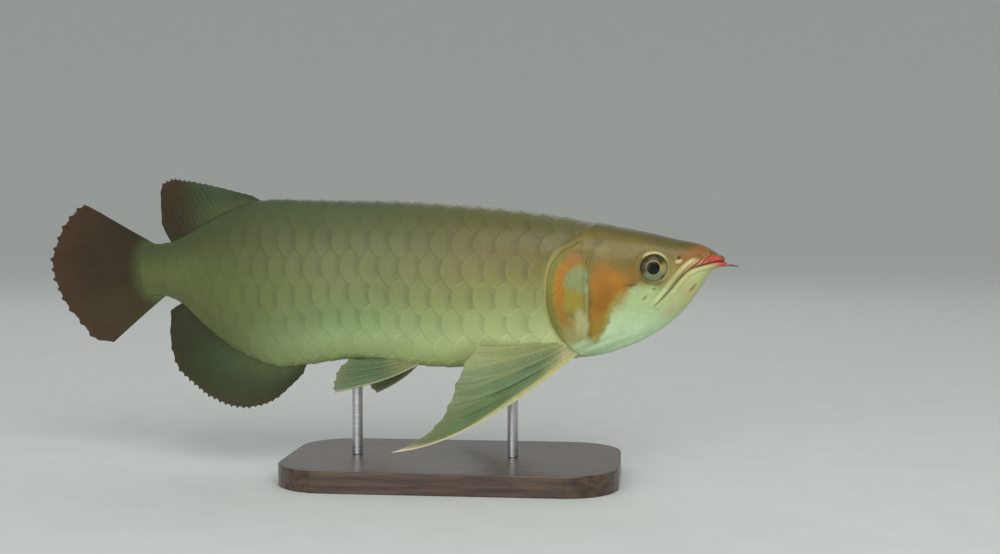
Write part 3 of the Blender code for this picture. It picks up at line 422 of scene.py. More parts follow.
def plate_relief(a, z):
    """The plates of the cheek and the gill cover, and the raised edge of the gill opening."""
    ahead, behind = CHEEK_AHEAD.aside(a, z), CHEEK_BEHIND.aside(a, z)
    cheek = rise(-ahead, 0, 4) * window(z, -35, 10.5, 3) * window(z, -20, 10, 5)
    relief = cheek * (0.55 * rise(behind, 0, 0.9) - 0.4 * bump(behind, -0.9, 0.7))
    ahead, behind = COVER_AHEAD.aside(a, z), COVER_BEHIND.aside(a, z)
    inside, edge = rise(-ahead, 0, 1.5) * (a > 74), rise(behind, 0, 0.75)
    slope = np.clip(-ahead / 19, 0, 1)
    relief += inside * (edge * (0.35 + 0.85 * slope) - 0.6 * bump(behind, -0.8, 0.75))
    relief -= 0.3 * bump(ahead, 0.3, 1.0) * window(z, -40, 0, 5)
    spokes = np.sin(46 * np.arctan2(z - 9, a - 78)) * rise(np.hypot(a - 78, z - 9), 3, 12)
    relief += 0.05 * inside * edge * spokes
    return relief + 0.35 * rise(MARGIN.aside(a, z), 0, 0.8) * window(z, 10, 60, 2) * rise(a, 60, 66)


def fine_relief(a, z):
    """The socket and rim of the eye, the nostrils, the folds of the throat and the creases."""
    eye, above = near_eye(a, z)[:2]
    relief = bump(eye, 8.15, 0.7) * (0.62 + 0.28 * above) - 0.28 * bump(eye, 10.0, 0.8)
    relief -= 4.2 * rise(ORBIT_RADIUS + 0.35 - eye, 0, 1.5)
    for back, height, size in NOSTRILS:
        off = np.hypot(a - back, z - height)
        relief += 0.35 * bump(off, size * 1.45, 0.45) - 1.5 * bump(off, 0, size * 0.75)
    relief += 0.16 * window(a, 30, 84, 6) * fall(z, -40, -33) * np.sin(1.15 * (z + 0.42 * a))
    for back, height, length, turn in CREASES:
        along, across = turned(a, z, (back, height), turn)
        relief -= 0.45 * bump(across, 0, 0.35) * fall(np.abs(along), length / 2, length / 2 + 0.6)
    return relief


def head_relief(a, z):
    """How far the skin of the head stands over the plain body, in millimetres."""
    return mouth_relief(a, z) + plate_relief(a, z) + fine_relief(a, z)


# The flank's paints from the belly up to the ridge of the back, at these levels: behind the gills, at the
# middle of the trunk and from the dorsal fin to the root of the tail fin. All paints are as on a screen.
FLANK_LEVELS = (0.0, 0.16, 0.3, 0.44, 0.58, 0.72, 0.86, 1.0)
FRONT_FLANK = [(194, 210, 136), (184, 196, 138), (158, 168, 112), (137, 141, 86), (120, 116, 62),
               (102, 94, 42), (91, 86, 40), (90, 90, 58)]
MIDDLE_FLANK = [(159, 180, 118), (153, 173, 119), (125, 146, 94), (115, 125, 77), (103, 111, 62),
                (90, 97, 52), (80, 88, 54), (67, 80, 52)]
REAR_FLANK = [(87, 96, 53), (82, 91, 49), (86, 95, 50), (86, 97, 51), (82, 93, 48), (75, 83, 46),
              (64, 73, 40), (59, 71, 40)]

HEAD_OLIVE = linear(112, 97, 40)
HEAD_TOP = linear(84, 78, 36)
EYE_OLIVE = linear(146, 138, 82)
CHEEK_PALE = linear(164, 182, 128)
THROAT_MINT = linear(184, 210, 166)
JAW_CREAM = linear(178, 180, 122)
JAW_BLUSH = linear(184, 156, 122)
SNOUT_BROWN = linear(142, 90, 42)
SNOUT_DARK = linear(86, 78, 58)
LIP_RED = linear(190, 72, 60)
# A cream painted as highlights on ridges, rims and fold crests.
HIGHLIGHT_CREAM = linear(208, 198, 142)
GROOVE_OLIVE = linear(108, 106, 62)
GILL_ORANGE = linear(164, 108, 24)
GILL_BROWN = linear(150, 112, 42)
GILL_DARK = linear(138, 92, 30)
GILL_RED = linear(142, 92, 36)
RIM_OLIVE = linear(110, 110, 42)
TEAL_GREY = linear(128, 136, 90)
YELLOW_OLIVE = linear(146, 132, 48)
YELLOW_GREEN = linear(150, 148, 70)
PINK_PALE = linear(172, 174, 120)
KHAKI = linear(158, 152, 94)
# Dark marks of the crown, also painted as shade in the nostrils.
DARK_MARK_AND_SHADE = linear(64, 54, 34)
# A brown painted as shade in creases and between folds.
SHADE_BROWN = linear(98, 62, 26)
CAUDAL_BASE = linear(70, 74, 44)


def mixed(base, paint, weight):
    weight = np.asarray(weight)[..., None]
    return base * (1 - weight) + paint * weight


def coated(colour, *layers):
    """A colour under layers of (paint, weight), the first one lowest."""
    for paint, weight in layers:
        colour = mixed(colour, paint, weight)
    return colour


def blot(place, *ovals):
    """Soft-edged ovals in a side view: back, height, half length, half depth, slope and softness."""
    weight = 0
    for back, height, length, depth, turn, soft in ovals:
        along, across = turned(*place, (back, height), turn)
        weight = np.maximum(weight, fall(np.hypot(along / length, across / depth), 1 - soft, 1 + soft))
    return weight


def drifted(a, z, reach):
    """Places shifted a little one way and another, so that painted edges don't run too even."""
    shift_a = np.sin(0.41 * z + 0.9) + 0.6 * np.sin(0.93 * z - 0.37 * a + 2.1)
    shift_a += 0.35 * np.sin(2.1 * z + 0.8 * a)
    shift_z = np.sin(0.37 * a + 0.4) + 0.6 * np.sin(0.81 * a + 0.45 * z + 1.2) + 0.35 * np.sin(1.9 * a - z)
    return a + reach * shift_a, z + reach * shift_z


def graded(level, paints):
    """The flank's paint at a level, between those of the list."""
    paints = np.array([linear(*paint) for paint in paints])
    return np.stack([np.interp(level, FLANK_LEVELS, paints[:, k]) for k in range(3)], axis=-1)


def body_paint(a, z):
    """The ground colour of the trunk and tail: dark above and pale below, and dark all over at the rear."""
    top, bottom = (value / MM for value in sections(a * MM)[:2])
    level = np.clip((z - bottom) / np.maximum(top - bottom, 1e-6), 0, 1)
    return coated(graded(level, FRONT_FLANK), (graded(level, MIDDLE_FLANK), rise(a, 115, 215)),
                  (graded(level, REAR_FLANK), rise(a, 195, 300)))


def ground_paint(a, z, near, edge):
    """The ground of the head: olive above, with a pale cheek, throat and jaw."""
    top = sections(a * MM)[0] / MM
    under = rise(-mouth_gap(a, z)[0], -0.2, 0.8)
    soft = 2.6 - 1.4 * rise(a, 44, 56)
    throat = np.maximum(rise(-edge, -soft, soft * 1.6), under * (a < 40))
    return coated(
        HEAD_OLIVE,
        (HEAD_TOP, rise(z - top, -9, -1)),
        (EYE_OLIVE, 0.85 * blot((a, z), (29, -2.5, 7.5, 7, -0.6, 0.6))),
        (mixed(CHEEK_PALE, THROAT_MINT, rise(-z, 15, 36)), throat),
        (JAW_CREAM, 0.85 * fall(a, 20, 38) * under * (1 - 0.7 * rise(-z, 14, 27))),
        (JAW_BLUSH, 0.4 * blot(near, (20, -13, 4.5, 2.2, -0.8, 0.6), (31, -24, 5, 2.4, -0.7, 0.6))))


def cheek_paint(colour, a, near, edge):
    """The orange mark of the cheek, with its yellow fringe."""
    mark = blot(near, (64.5, -9, 9.5, 13, 0.0, 0.45), (69.0, -24, 5.0, 13.5, 0.2, 0.4))
    mark *= rise(75.2 - a, -0.4, 1.6)
    return coated(
        colour,
        (GILL_ORANGE, 0.9 * mark),
        (GILL_DARK, 0.7 * blot(near, (66.5, -17, 4.5, 11, 0.15, 0.6)) * mark),
        (YELLOW_GREEN, 0.7 * bump(edge, 0.6, 1.5) * window(a, 57, 74, 2)),
        (YELLOW_OLIVE, 0.5 * blot(near, (69.5, -30, 4.5, 7, 0.3, 0.6)) * mark),
        (GILL_ORANGE, 0.4 * blot(near, (53.5, -4.5, 5.5, 5.5, 0.0, 0.6))),
        (HEAD_OLIVE, 0.75 * blot(near, (60, 2.5, 6, 4.5, 0.0, 0.6))),
        (GILL_RED, 0.55 * blot(near, (67, -1.0, 3.2, 3, 0.0, 0.6))))


def cover_paint(colour, a, z, near):
    """The gill cover, yellow with a grey patch, an orange band and an olive rim, and the marks above it."""
    behind, wavy = COVER_BEHIND.aside(a, z), COVER_BEHIND.aside(*near)
    cover = rise(a, 76.2, 78.4) * rise(z, -44, -34) * fall(z, 6, 15)
    band = mixed(GILL_ORANGE, GILL_BROWN, rise(-z, 12, 26))
    return coated(
        colour,
        (YELLOW_OLIVE, cover * window(z, -24, 4, 3)),
        (TEAL_GREY, 0.95 * blot(near, (81.6, -4.8, 6.6, 6.2, -0.2, 0.3), (78.8, -10, 3.0, 4.0, 0.2, 0.4))),
        (KHAKI, 0.9 * rise(a, 74, 78) * rise(-z, 23, 31)),
        (PINK_PALE, 0.85 * blot(near, (79.0, -31, 3.4, 8.5, -0.12, 0.45))),
        (THROAT_MINT, 0.8 * rise(a, 70, 76) * rise(-z - 0.25 * (a - 76), 36, 43)),
        (band, 0.88 * window(wavy, 3.6, 9.4, 1.3) * window(z, -32, 6, 3) * rise(a, 76, 80)),
        (GILL_RED, 0.7 * blot(near, (84.0, 5.0, 6.0, 3.6, 0.15, 0.6))),
        (RIM_OLIVE, 0.85 * window(behind, -1, 3.6, 1.1) * window(z, -36, 9, 5) * rise(a, 80, 88)),
        (PINK_PALE, 0.5 * bump(a - 75.9 + 0.02 * (z + 10), 0, 0.8) * window(z, -34, -8, 4)),
        (DARK_MARK_AND_SHADE, 0.5 * blot(near, (70.8, 15.2, 3.2, 2.6, 0.0, 0.6))),
        (YELLOW_GREEN, 0.18 * blot(near, (67.5, 10.5, 3.4, 2.4, 0.0, 0.6))))


def mouth_paint(colour, a, z):
    """The brown snout, the red lips, painted highlights on the ridges by the mouth and on the crests of the
    folds over it, painted shade between the folds, and painted shade along the mouth's dark line.
    """
    top = sections(a * MM)[0] / MM
    gap, along = mouth_gap(a, z)
    ridge, way = MAXILLA.off(a, z)
    folds, stripe = maxilla_folds(a, z, gap)
    upper = rise(gap, -0.2, 0.3) * fall(gap, 2.4, 4.4) * fall(a, 9, 21)
    lower = rise(-gap, -0.2, 0.3) * fall(-gap, 1.6, 3.4) * fall(a, 2.0, 10.5)
    above, below = (gap > 0) * (a < MOUTH_END), (gap < 0) * (a < MOUTH_END)
    # How strong the painted highlight on the maxilla's ridge is along its length.
    ridge_highlight = 0.42 + 0.5 * rise(way, 0.4, 0.75)
    # The mouth line, and the dark tone painted along it as shade in the gap between the lips.
    slit = bump(gap, 0, 0.45 + 0.25 * rise(along, 0.4, 0.6)) * (a < MOUTH_END) * fall(along, 0.94, 1.0)
    slit_shade = mixed(GROOVE_OLIVE * 0.55, LIP_RED * 0.35, fall(a, 6, 16))
    return coated(
        colour,
        (SNOUT_BROWN, 0.85 * blot((a, z), (12.5, 7.5, 14.5, 5.8, -0.28, 0.55)) * rise(gap, 0.2, 1.2)),
        (LIP_RED, 0.95 * np.maximum(upper, lower)),
        (SNOUT_DARK, 0.85 * rise(z - top, -2.4, -0.6) * fall(a, 7, 12)),
        # Painted shade in the valleys between the folds over the upper lip, and a painted highlight on their
        # crests.
        (SHADE_BROWN, 0.65 * folds * (1 - stripe) ** 1.5),
        (HIGHLIGHT_CREAM, 0.5 * folds * stripe**2.5 * rise(a, 9, 15)),
        (GROOVE_OLIVE, 0.75 * (gap > 0) * rise(ridge, 1.0, 2.0) * (a < 40) * rise(a, 20, 25)),
        # A painted highlight along the crest of the maxilla's ridge.
        (HIGHLIGHT_CREAM, ridge_highlight * window(way, 0.05, 0.86, 0.06) * above * bump(ridge, 0.3, 1.1)),
        # A painted highlight along the raised edge of the lower lip.
        (HIGHLIGHT_CREAM, 0.4 * window(along, 0.22, 0.9, 0.06) * bump(gap, -1.9, 1.1) * below),
        # Painted shade along the mouth line, where the lips part.
        (slit_shade, (0.4 - 0.15 * rise(along, 0.4, 0.7)) * slit))


def eye_rim_paint(colour, a, z):
    """Painted shade round the eye and a painted highlight on its upper rim, a painted highlight by the rear
    nostril, and painted shade in the nostrils and the creases.
    """
    eye, above, ahead = near_eye(a, z)
    colour = coated(
        colour,
        # Painted shade in the socket behind and above the eye.
        (HEAD_OLIVE * 0.7, 0.55 * bump(eye, 7.6, 1.1) * rise(0.5 * above - ahead, -0.6, 0.5)),
        # A painted highlight on the upper rim of the eye.
        (HIGHLIGHT_CREAM, 0.9 * bump(eye, 8.4, 0.75) * rise(above + 0.12 * ahead, 0.45, 0.9)),
        (EYE_OLIVE, 0.7 * bump(eye, 8.6, 0.9) * rise(ahead, 0.5, 0.8)),
        # A painted highlight just under the rear nostril.
        (HIGHLIGHT_CREAM, 0.85 * blot((a, z), (25.8, 4.5, 1.9, 0.95, -0.3, 0.6))))
    # Painted shade in the pits of the nostrils.
    for back, height, size in NOSTRILS:
        colour = mixed(colour, DARK_MARK_AND_SHADE * 0.6, 0.7 * bump(np.hypot(a - back, z - height), 0, size * 0.75))
    # Painted shade along the creases of the head.
    for back, height, length, turn in CREASES:
        colour = mixed(colour, SHADE_BROWN, 0.7 * blot((a, z), (back, height, length / 2, 0.6, turn, 0.6)))
    return colour


def head_paint(a, z):
    """The colours of the head: olive above, mint below, with the orange marks of the cheek and gill."""
    near = drifted(a, z, PAINT_DRIFT)
    edge = PALE_EDGE.aside(*near)
    colour = cheek_paint(ground_paint(a, z, near, edge), a, near, edge)
    return eye_rim_paint(mouth_paint(cover_paint(colour, a, z, near), a, z), a, z)


def fish_paint(a, z):
    """The skin's colours: the head's and, behind the edge of the gill opening, the trunk's."""
    margin = MARGIN.aside(a, z)
    behind = np.where(a < 60, 0, np.where(a > 105, 1, rise(-margin, -1.5, 1.5)))
    membrane = bump(margin, -0.2, 1.1) * window(z, -42, 10, 6)
    return coated(head_paint(a, z), (body_paint(a, z), behind), (KHAKI, 0.65 * membrane))


def added(name, data):
    """A new object of the scene."""
    thing = bpy.data.objects.new(name, data)
    bpy.context.scene.collection.objects.link(thing)
    return thing


def facing_out(points, faces):
    """The faces, all turned over if they make the closed body inside out."""
    corners = points[np.array([face[:3] for face in faces])]
    volume = np.einsum("ij,ij->i", corners[:, 0], np.cross(corners[:, 1], corners[:, 2])).sum()
    return faces if volume > 0 else [face[::-1] for face in faces]


def mesh_piece(name, points, faces, colours, uv=None, corner_uv=None, nodes=(), values=(), sharp=None):
    """A finished piece: a closed mesh with its colours, its map and the nodes that it takes the place of.

    The map is given for each point, as uv, or for each corner of the faces. The nodes are the one with the
    piece's own name if none are given.
    """
    nodes = nodes or (name,)
    faces = facing_out(points, faces)
    mesh = bpy.data.meshes.new(name)
    mesh.from_pydata(points.tolist(), [], faces)
    if uv is not None:
        corner_uv = uv[np.concatenate(faces)]
    if corner_uv is not None:
        layer = mesh.uv_layers.new(name="OFBake")
        layer.data.foreach_set("uv", np.asarray(corner_uv, np.float32).ravel())
    layer = mesh.color_attributes.new("Paint", "FLOAT_COLOR", "POINT")
    rows = np.ones((len(points), 4), np.float32)
    rows[:, :3] = np.clip(colours, 0, 1)
    layer.data.foreach_set("color", rows.ravel())
    for label, value in values:
        layer = mesh.attributes.new(label, "FLOAT", "POINT")
        layer.data.foreach_set("value", np.asarray(value, np.float32).ravel())
    mesh.shade_smooth()
    if sharp:
        mesh.set_sharp_from_angle(angle=math.radians(sharp))
    thing = added(name, mesh)
    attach(thing, ROOT)
    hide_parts(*nodes)
    return thing


def grid_corners(rows, columns):
    """The row and the column of each corner of a grid's quads."""
    row, column = np.divmod(np.arange((rows - 1) * (columns - 1)), columns - 1)
    return row[:, None] + (0, 0, 1, 1), column[:, None] + (0, 1, 1, 0)


def ring_quads(rings, around):
    """The quads between rings of points, which turn the other way from a grid's."""
    row, column = grid_corners(rings, around + 1)
    return (row * around + column % around)[:, (0, 3, 2, 1)].tolist()


def end_fans(rings, around):
    """The triangles from the first and the last ring to two tips, whose points come after the rings'."""
    k = np.arange(around)
    after, last, tip = (k + 1) % around, (rings - 1) * around, np.full(around, rings * around)
    return np.stack([after, k, tip], axis=-1), np.stack([last + k, last + after, tip + 1], axis=-1)


def sheet_faces(rows, columns):
    """The faces of a closed sheet: a grid of points, a like one under it, and the rim between them."""
    count = rows * columns
    row, column = grid_corners(rows, columns)
    quads = row * columns + column
    grid = np.arange(count).reshape(rows, columns)
    over = np.concatenate([grid[0], grid[1:, -1], grid[-1, -2::-1], grid[-2:0:-1, 0]])
    rim = np.stack([over, over + count, np.roll(over + count, -1), np.roll(over, -1)], axis=-1)
    return np.vstack([quads, (quads + count)[:, ::-1], rim])


def tail_end(height):
    """How far back the flesh of the tail ends, at these heights in millimetres."""
    back, heights = np.array(TAIL_END_MARGIN)[::-1].T
    return np.interp(height, heights, back)


# The skin's rings, in millimetres back: the first one, and where the head, the body and the tail's end stop.
SKIN_AROUND = 264
SKIN_STARTS, HEAD_STOPS, BODY_STOPS, SKIN_STOPS = 0.02, 101, 344, 356
HEAD_RINGS, BODY_RINGS, END_RINGS = 231, 111, 13


def skin_stations():
    """Distances back of the skin's rings, close together on the head."""
    head = HEAD_STOPS * (np.arange(1, HEAD_RINGS + 1) / HEAD_RINGS) ** 1.2
    body = np.linspace(HEAD_STOPS, BODY_STOPS, BODY_RINGS + 1)[1:]
    end = np.linspace(BODY_STOPS, SKIN_STOPS, END_RINGS + 1)[1:]
    return np.concatenate([[SKIN_STARTS], head, body, end]) * MM


def make_skin():
    """One skin from the lips to the tail fin, in place of all the nodes of flesh."""
    stations = skin_stations()
    rows, columns = len(stations), SKIN_AROUND
    back, turn = np.meshgrid(stations, np.arange(columns) * 2 / columns, indexing="ij")
    points, normals = on_skin(back, turn)
    a, z = back / MM, points[..., 2] / MM
    relief = np.zeros_like(a)
    head = a[:, 0] < HEAD_STOPS + 1
    relief[head] = head_relief(a[head], z[head])
    relief -= 0.3 * rise(-MARGIN.aside(a, z), -0.5, 1.5) * (a > 60)
    past = a - tail_end(z)
    points = points + normals * relief[..., None] * MM
    points[..., 1] *= 1 - 0.97 * rise(past, -5, 6)
    colours = mixed(fish_paint(a, z), CAUDAL_BASE, 0.85 * rise(past, 1, 8))

    row, column = grid_corners(rows, columns + 1)
    front, rear = end_fans(rows, columns)
    faces = [*(row * columns + column % columns).tolist(), *front.tolist(), *rear.tolist()]
    across = np.concatenate([[0], np.cumsum(np.sqrt(np.diff(stations)))])
    across /= across[-1]
    down = np.arange(columns + 1) / columns
    corner_uv = [np.stack([across[row], down[column]], axis=-1).reshape(-1, 2)]
    for end, ahead in ((0, (1, 0, 0)), (1, (0, 1, 0))):
        level = down[np.arange(columns)[:, None] + ahead].ravel()
        corner_uv.append(np.stack([np.full_like(level, end), level], axis=-1))

    rings = placed(points)
    points = np.vstack([rings.reshape(-1, 3), rings[0].mean(axis=0), rings[-1].mean(axis=0)])
    colours = np.vstack([colours.reshape(-1, 3), colours[0].mean(axis=0), colours[-1].mean(axis=0)])
    return mesh_piece("skin", points, faces, colours, corner_uv=np.vstack(corner_uv),
                      nodes=("head", "lower_jaw", "gill_cover_left", "gill_cover_right", "trunk", "tail"))


def scale_back(columns):
    """The distance back of a place counted in scale lengths from SCALE_FRONT."""
    shrink = (SCALE_LENGTH_REAR - SCALE_LENGTH_FRONT) / SCALED_LENGTH
    return SCALE_FRONT + SCALE_LENGTH_FRONT / shrink * (np.exp(shrink * columns) - 1)


def row_share(row, back):
    """The share of the way round at which a row lies: the rows crowd at the edges of the thin tail."""
    even = row / SCALE_ROWS
    whole = np.floor(even)
    gathered = whole + 0.5 - 0.5 * np.cos(math.pi * (even - whole))
    weight = ROWS_GATHER * rise(back, ROWS_GATHER_FROM, ROWS_GATHER_TO)
    return (1 - weight) * even + weight * gathered


SCALE_ACROSS, SCALE_ALONG = 17, 15
SCALE_HIDDEN = -1.02
SCALE_LOW, SCALE_HIGH, SCALE_THICK = -0.42, 0.24, 0.18
FIRST_TAIL_SCALE = 23
SCALE_SEED, FIN_SEED = 7, 3


def one_scale(column, row, slit_shade):
    """One scale of the straight fish: where its crest is, and its points, colours, map and lengths."""
    angle = np.linspace(-math.pi / 2, math.pi / 2, SCALE_ACROSS)
    way = 1 - (1 - np.linspace(0, 1, SCALE_ALONG)) ** 1.6
    rear = SCALE_SHOULDER + (SCALE_CREST - SCALE_SHOULDER) * np.cos(angle) ** 1.35
    u = SCALE_HIDDEN + (rear[None, :] - SCALE_HIDDEN) * way[:, None]
    v = np.broadcast_to(SCALE_HALF_WIDTH * 1.04 * np.sin(angle), u.shape)
    back = scale_back(column / 2 + u)
    points, normals = on_skin(back, row_share(row + v, back))
    a, z = back / MM, points[..., 2] / MM

    lift = SCALE_LOW + (SCALE_HIGH - SCALE_LOW) * (u - SCALE_HIDDEN) / (SCALE_CREST - SCALE_HIDDEN)
    rim = np.clip((rear[None, :] - u) / 0.07, 0, 1)
    lift = lift - 0.14 * (1 - rim) ** 2 + 0.05 * bump(v, 0, 0.4) * rise(u, -0.5, 0.4)
    margin = MARGIN.aside(a, z)
    lift = lift - 1.4 * rise(margin, -1.4, 0.8) - 0.35 * rise(margin, -9, -1)
    lift = lift - 0.16 * rise(a, 200, 300) - 0.5 * rise(a, 328, 343)
    thick = SCALE_THICK * (1 - 0.35 * (1 - rim))
    top = points + normals * lift[..., None] * MM
    bottom = points + normals * (lift - thick)[..., None] * MM

    root = bump(u, -0.34, 0.16) * window(z, -33, 24, 8) * bump(v, 0, 0.5) * (1 - 0.6 * rise(a, 250, 310))
    # A slight painted sheen along each scale's rear rim.
    rim_sheen = bump(rear[None, :] - u, 0.05, 0.06)
    colours = body_paint(a, z) * (slit_shade * (1 - 0.24 * root + 0.03 * rim_sheen))[..., None]
    map_u = (column - FIRST_SCALE + 0.5 + (u - SCALE_HIDDEN) * 0.55) / (LAST_SCALE - FIRST_SCALE + 3)
    map_v = ((row + 0.5 + v * 0.62) % (2 * SCALE_ROWS)) / (2 * SCALE_ROWS)
    crest = a[-1, SCALE_ACROSS // 2], top[-1, SCALE_ACROSS // 2, 2] / MM
    place = np.stack([map_u, map_v], axis=-1)
    doubled = [np.tile(rows.reshape(-1, count), (2, 1)) for rows, count in ((colours, 3), (place, 2), (u, 1))]
    return crest, (np.vstack([top.reshape(-1, 3), bottom.reshape(-1, 3)]), *doubled)


def make_scales():
    """Every scale as a thin plate over the skin, in four pieces, tucked under the one ahead of it."""
    chance = np.random.default_rng(SCALE_SEED)
    groups = {}
    for row in range(2 * SCALE_ROWS):
        for column in range(FIRST_SCALE, LAST_SCALE + 1):
            if (column + row) % 2:
                continue
            slit_shade = 1 + 0.05 * (chance.random() - 0.5)
            (a, z), scale = one_scale(column, row, slit_shade)
            if MARGIN.aside(np.array([a]), np.array([z]))[0] > -1.0 or a > tail_end(z) - 1:
                continue
            half = "left" if row <= SCALE_ROWS else "right"
            part = "trunk" if column < FIRST_TAIL_SCALE else "tail"
            groups.setdefault((part, half), []).append(scale)
    one = sheet_faces(SCALE_ALONG, SCALE_ACROSS)
    things = []
    for (part, half), scales in groups.items():
        points, colours, uv, lengths = (np.vstack(values) for values in zip(*scales))
        starts = np.arange(len(scales)) * len(scales[0][0])
        faces = (one + starts[:, None, None]).reshape(-1, 4).tolist()
        things.append(mesh_piece(f"scales_{part}_{half}", placed(points), faces, colours, uv, nodes=(part,),
                                 values=[("Length", lengths)], sharp=55))
    return things


def ray_pattern(phase, t, first_split, second_split):
    """1 on a fin ray and 0 on the web between, where each ray splits in two and again towards its tip."""
    off = phase - np.round(phase)
    one = 0.24 * rise(t, first_split, 1.15)
    two = 0.12 * rise(t, second_split, 1.15)
    width = 0.14 - 0.075 * t
    branches = [bump(off, outer * one + inner * two, width) for outer in (-1, 1) for inner in (-1, 1)]
    return np.maximum.reduce(branches)


def make_fin(name, middle, paint, rays, per_ray, rows, splits=(0.35, 0.68), notch=0.04, corners=(0, 0),
             ridge=0.2):
    """A fin: a thin web with branching rays raised on both faces, a scalloped edge and rounded corners."""
    columns = (rays - 1) * per_ray + 1
    share = np.linspace(0, 1, columns)
    phase = share * (rays - 1)
    chance = np.random.default_rng(FIN_SEED)
    uneven = np.interp(phase, np.arange(rays), chance.random(rays)) * 0.018
    uneven += corners[0] * rise(-share, -0.07, 0) ** 3
    uneven += corners[1] * rise(share, 0.93, 1) ** 3
    large, small = (0.5 - 0.5 * np.cos(2 * math.pi * phase * count) for count in (1, 2))
    reach = 1 - uneven - notch * (0.65 * large + 0.35 * small)
    t, share = np.meshgrid(np.linspace(0, 1, rows), share, indexing="ij")
    mid = middle(share, t * reach)
    normal = np.cross(np.gradient(mid, axis=0), np.gradient(mid, axis=1))
    normal /= np.maximum(np.linalg.norm(normal, axis=2, keepdims=True), 1e-12)
    pattern = ray_pattern(np.broadcast_to(phase, t.shape), t, *splits)
    half = 0.25 * (1 - 0.5 * t**2) + 0.3 * np.maximum(0, 1 - 2.2 * t) ** 2
    half = half + ridge * pattern * (1 - 0.62 * t)
    lead = bump(share, 0, 0.6 / (rays - 1)) * 0.18 * (1 - 0.7 * t)
    half = (half + lead) * (1 - 0.6 * rise(t, 0.965, 1.0))
    offset = normal * half[..., None] * MM
    points = np.vstack([placed(mid + offset).reshape(-1, 3), placed(mid - offset).reshape(-1, 3)])
    colours = np.tile(paint(share, t, pattern).reshape(-1, 3), (2, 1))
    near = np.stack([share * 0.49, t], axis=-1).reshape(-1, 2)
    uv = np.vstack([near, near + (0.51, 0)])
    return mesh_piece(name, points, sheet_faces(rows, columns).tolist(), colours, uv,
                      values=[("Ray", np.tile(pattern.ravel(), 2)), ("Along", np.tile(t.ravel(), 2))])


def median_middle(table, bow=0.0, curl=0.0):
    """The middle surface of a fin on the middle plane."""
    curve = Curve(table)

    def middle(share, t):
        values = curve(share) * MM
        zero = np.zeros_like(share)
        root = np.stack([-values[..., 0], zero, values[..., 1]], axis=-1)
        tip = np.stack([-values[..., 2], zero, values[..., 3]], axis=-1)
        ray = tip - root
        root = root - ray / np.linalg.norm(ray, axis=-1, keepdims=True) * MEDIAN_SINK
        ray = tip - root
        sideways = np.stack([ray[..., 2], zero, -ray[..., 0]], axis=-1)
        sideways /= np.linalg.norm(sideways, axis=-1, keepdims=True)
        bulge = 4 * t * (1 - t)
        point = root + ray * t[..., None] + sideways * bow * bulge[..., None]
        point[..., 1] += curl * t * t * np.sin(2.4 * math.pi * share + 0.6)
        return point

    return middle


def paired_middle(table, root_line, side, bow=0.0, hook=0.0, cup=0.0, scale=(1, 1, 1)):
    """The middle surface of a fin on one side, whose rays fan out, droop in a bow and hook at their tips."""
    curve = Curve(table)
    ends = [np.array(flank(back * MM, height * MM)[0]) for back, height in root_line]

    def reach(share):
        return curve(share) * np.array(scale) * MM * (-1, 1, 1)

    inward = reach(0.45) / np.linalg.norm(reach(0.45))
    droop = np.array((0.25, 0.15, -1)) / np.linalg.norm((0.25, 0.15, -1))

    def middle(share, t):
        root = ends[0] + (ends[1] - ends[0]) * share[..., None]
        tip = root + reach(share)
        root = root - inward * PAIRED_SINK
        bulge = 4 * t * (1 - t) * (1.3 - 0.6 * t)
        sag = (bow * bulge + hook * t**3 * (1 - t) * 256 / 27) * (1 - 0.8 * share)
        point = root + (tip - root) * t[..., None] + droop * sag[..., None]
        point[..., 1] -= cup * bulge * np.sin(math.pi * share)
        point[..., 1] *= side
        return point

    return middle


TAIL_GREEN = linear(78, 90, 50)
FIN_BROWN = linear(44, 37, 22)
FIN_RED = linear(60, 39, 28)
FIN_GREEN = linear(45, 58, 33)
FIN_OLIVE = linear(58, 50, 32)
FIN_RAY = linear(66, 58, 36)
PECTORAL_WEB = linear(90, 111, 71)
PECTORAL_OLIVE = linear(144, 144, 94)
PECTORAL_CREAM = linear(174, 170, 120)
PECTORAL_INNER = linear(136, 145, 94)
# A pale colour painted as a highlight along the leading edges of the paired fins.
PAINTED_EDGE_HIGHLIGHT = linear(204, 194, 162)
PECTORAL_STREAK = linear(58, 76, 46)
PECTORAL_TIP = linear(128, 116, 90)

# The pectoral fins' dark streaks: share along the root, start, end and strength.
PECTORAL_STREAKS = [(0.34, 0.5, 0.84, 0.75), (0.47, 0.3, 0.74, 0.9), (0.61, 0.26, 0.48, 0.5)]


def caudal_paint(share, t, ray):
    low = rise(share, 0.55, 0.9)
    return coated(
        FIN_BROWN,
        (FIN_OLIVE, 0.8 * low),
        (FIN_RED, 0.8 * rise(t, 0.5, 1.0) * (1 - 0.4 * low)),
        (TAIL_GREEN, 0.9 * fall(t, 0.1, 0.3)),
        (FIN_RAY, 0.16 * ray * (1 - 0.6 * t)))


def dorsal_paint(share, t, ray):
    return coated(
        FIN_GREEN,
        (FIN_BROWN, rise(share, 0.42, 0.8)),
        (TAIL_GREEN * 0.8, 0.8 * fall(t, 0.1, 0.7) * fall(share, 0.4, 0.9)),
        (FIN_RED, 0.5 * rise(t, 0.6, 1.0) * rise(share, 0.4, 0.8)),
        (FIN_RAY, 0.12 * ray * (1 - 0.6 * t)))


def anal_paint(share, t, ray):
    return coated(
        FIN_GREEN,
        (FIN_BROWN, 0.45 * rise(t, 0.4, 0.9)),
        (TAIL_GREEN, 0.8 * fall(t, 0.1, 0.6) * fall(share, 0.35, 0.8)),
        (FIN_BROWN * 0.9, 0.6 * rise(share, 0.7, 0.95)),
        (FIN_RED, 0.35 * rise(t, 0.8, 1.0)),
        (FIN_RAY, 0.12 * ray * (1 - 0.6 * t)))


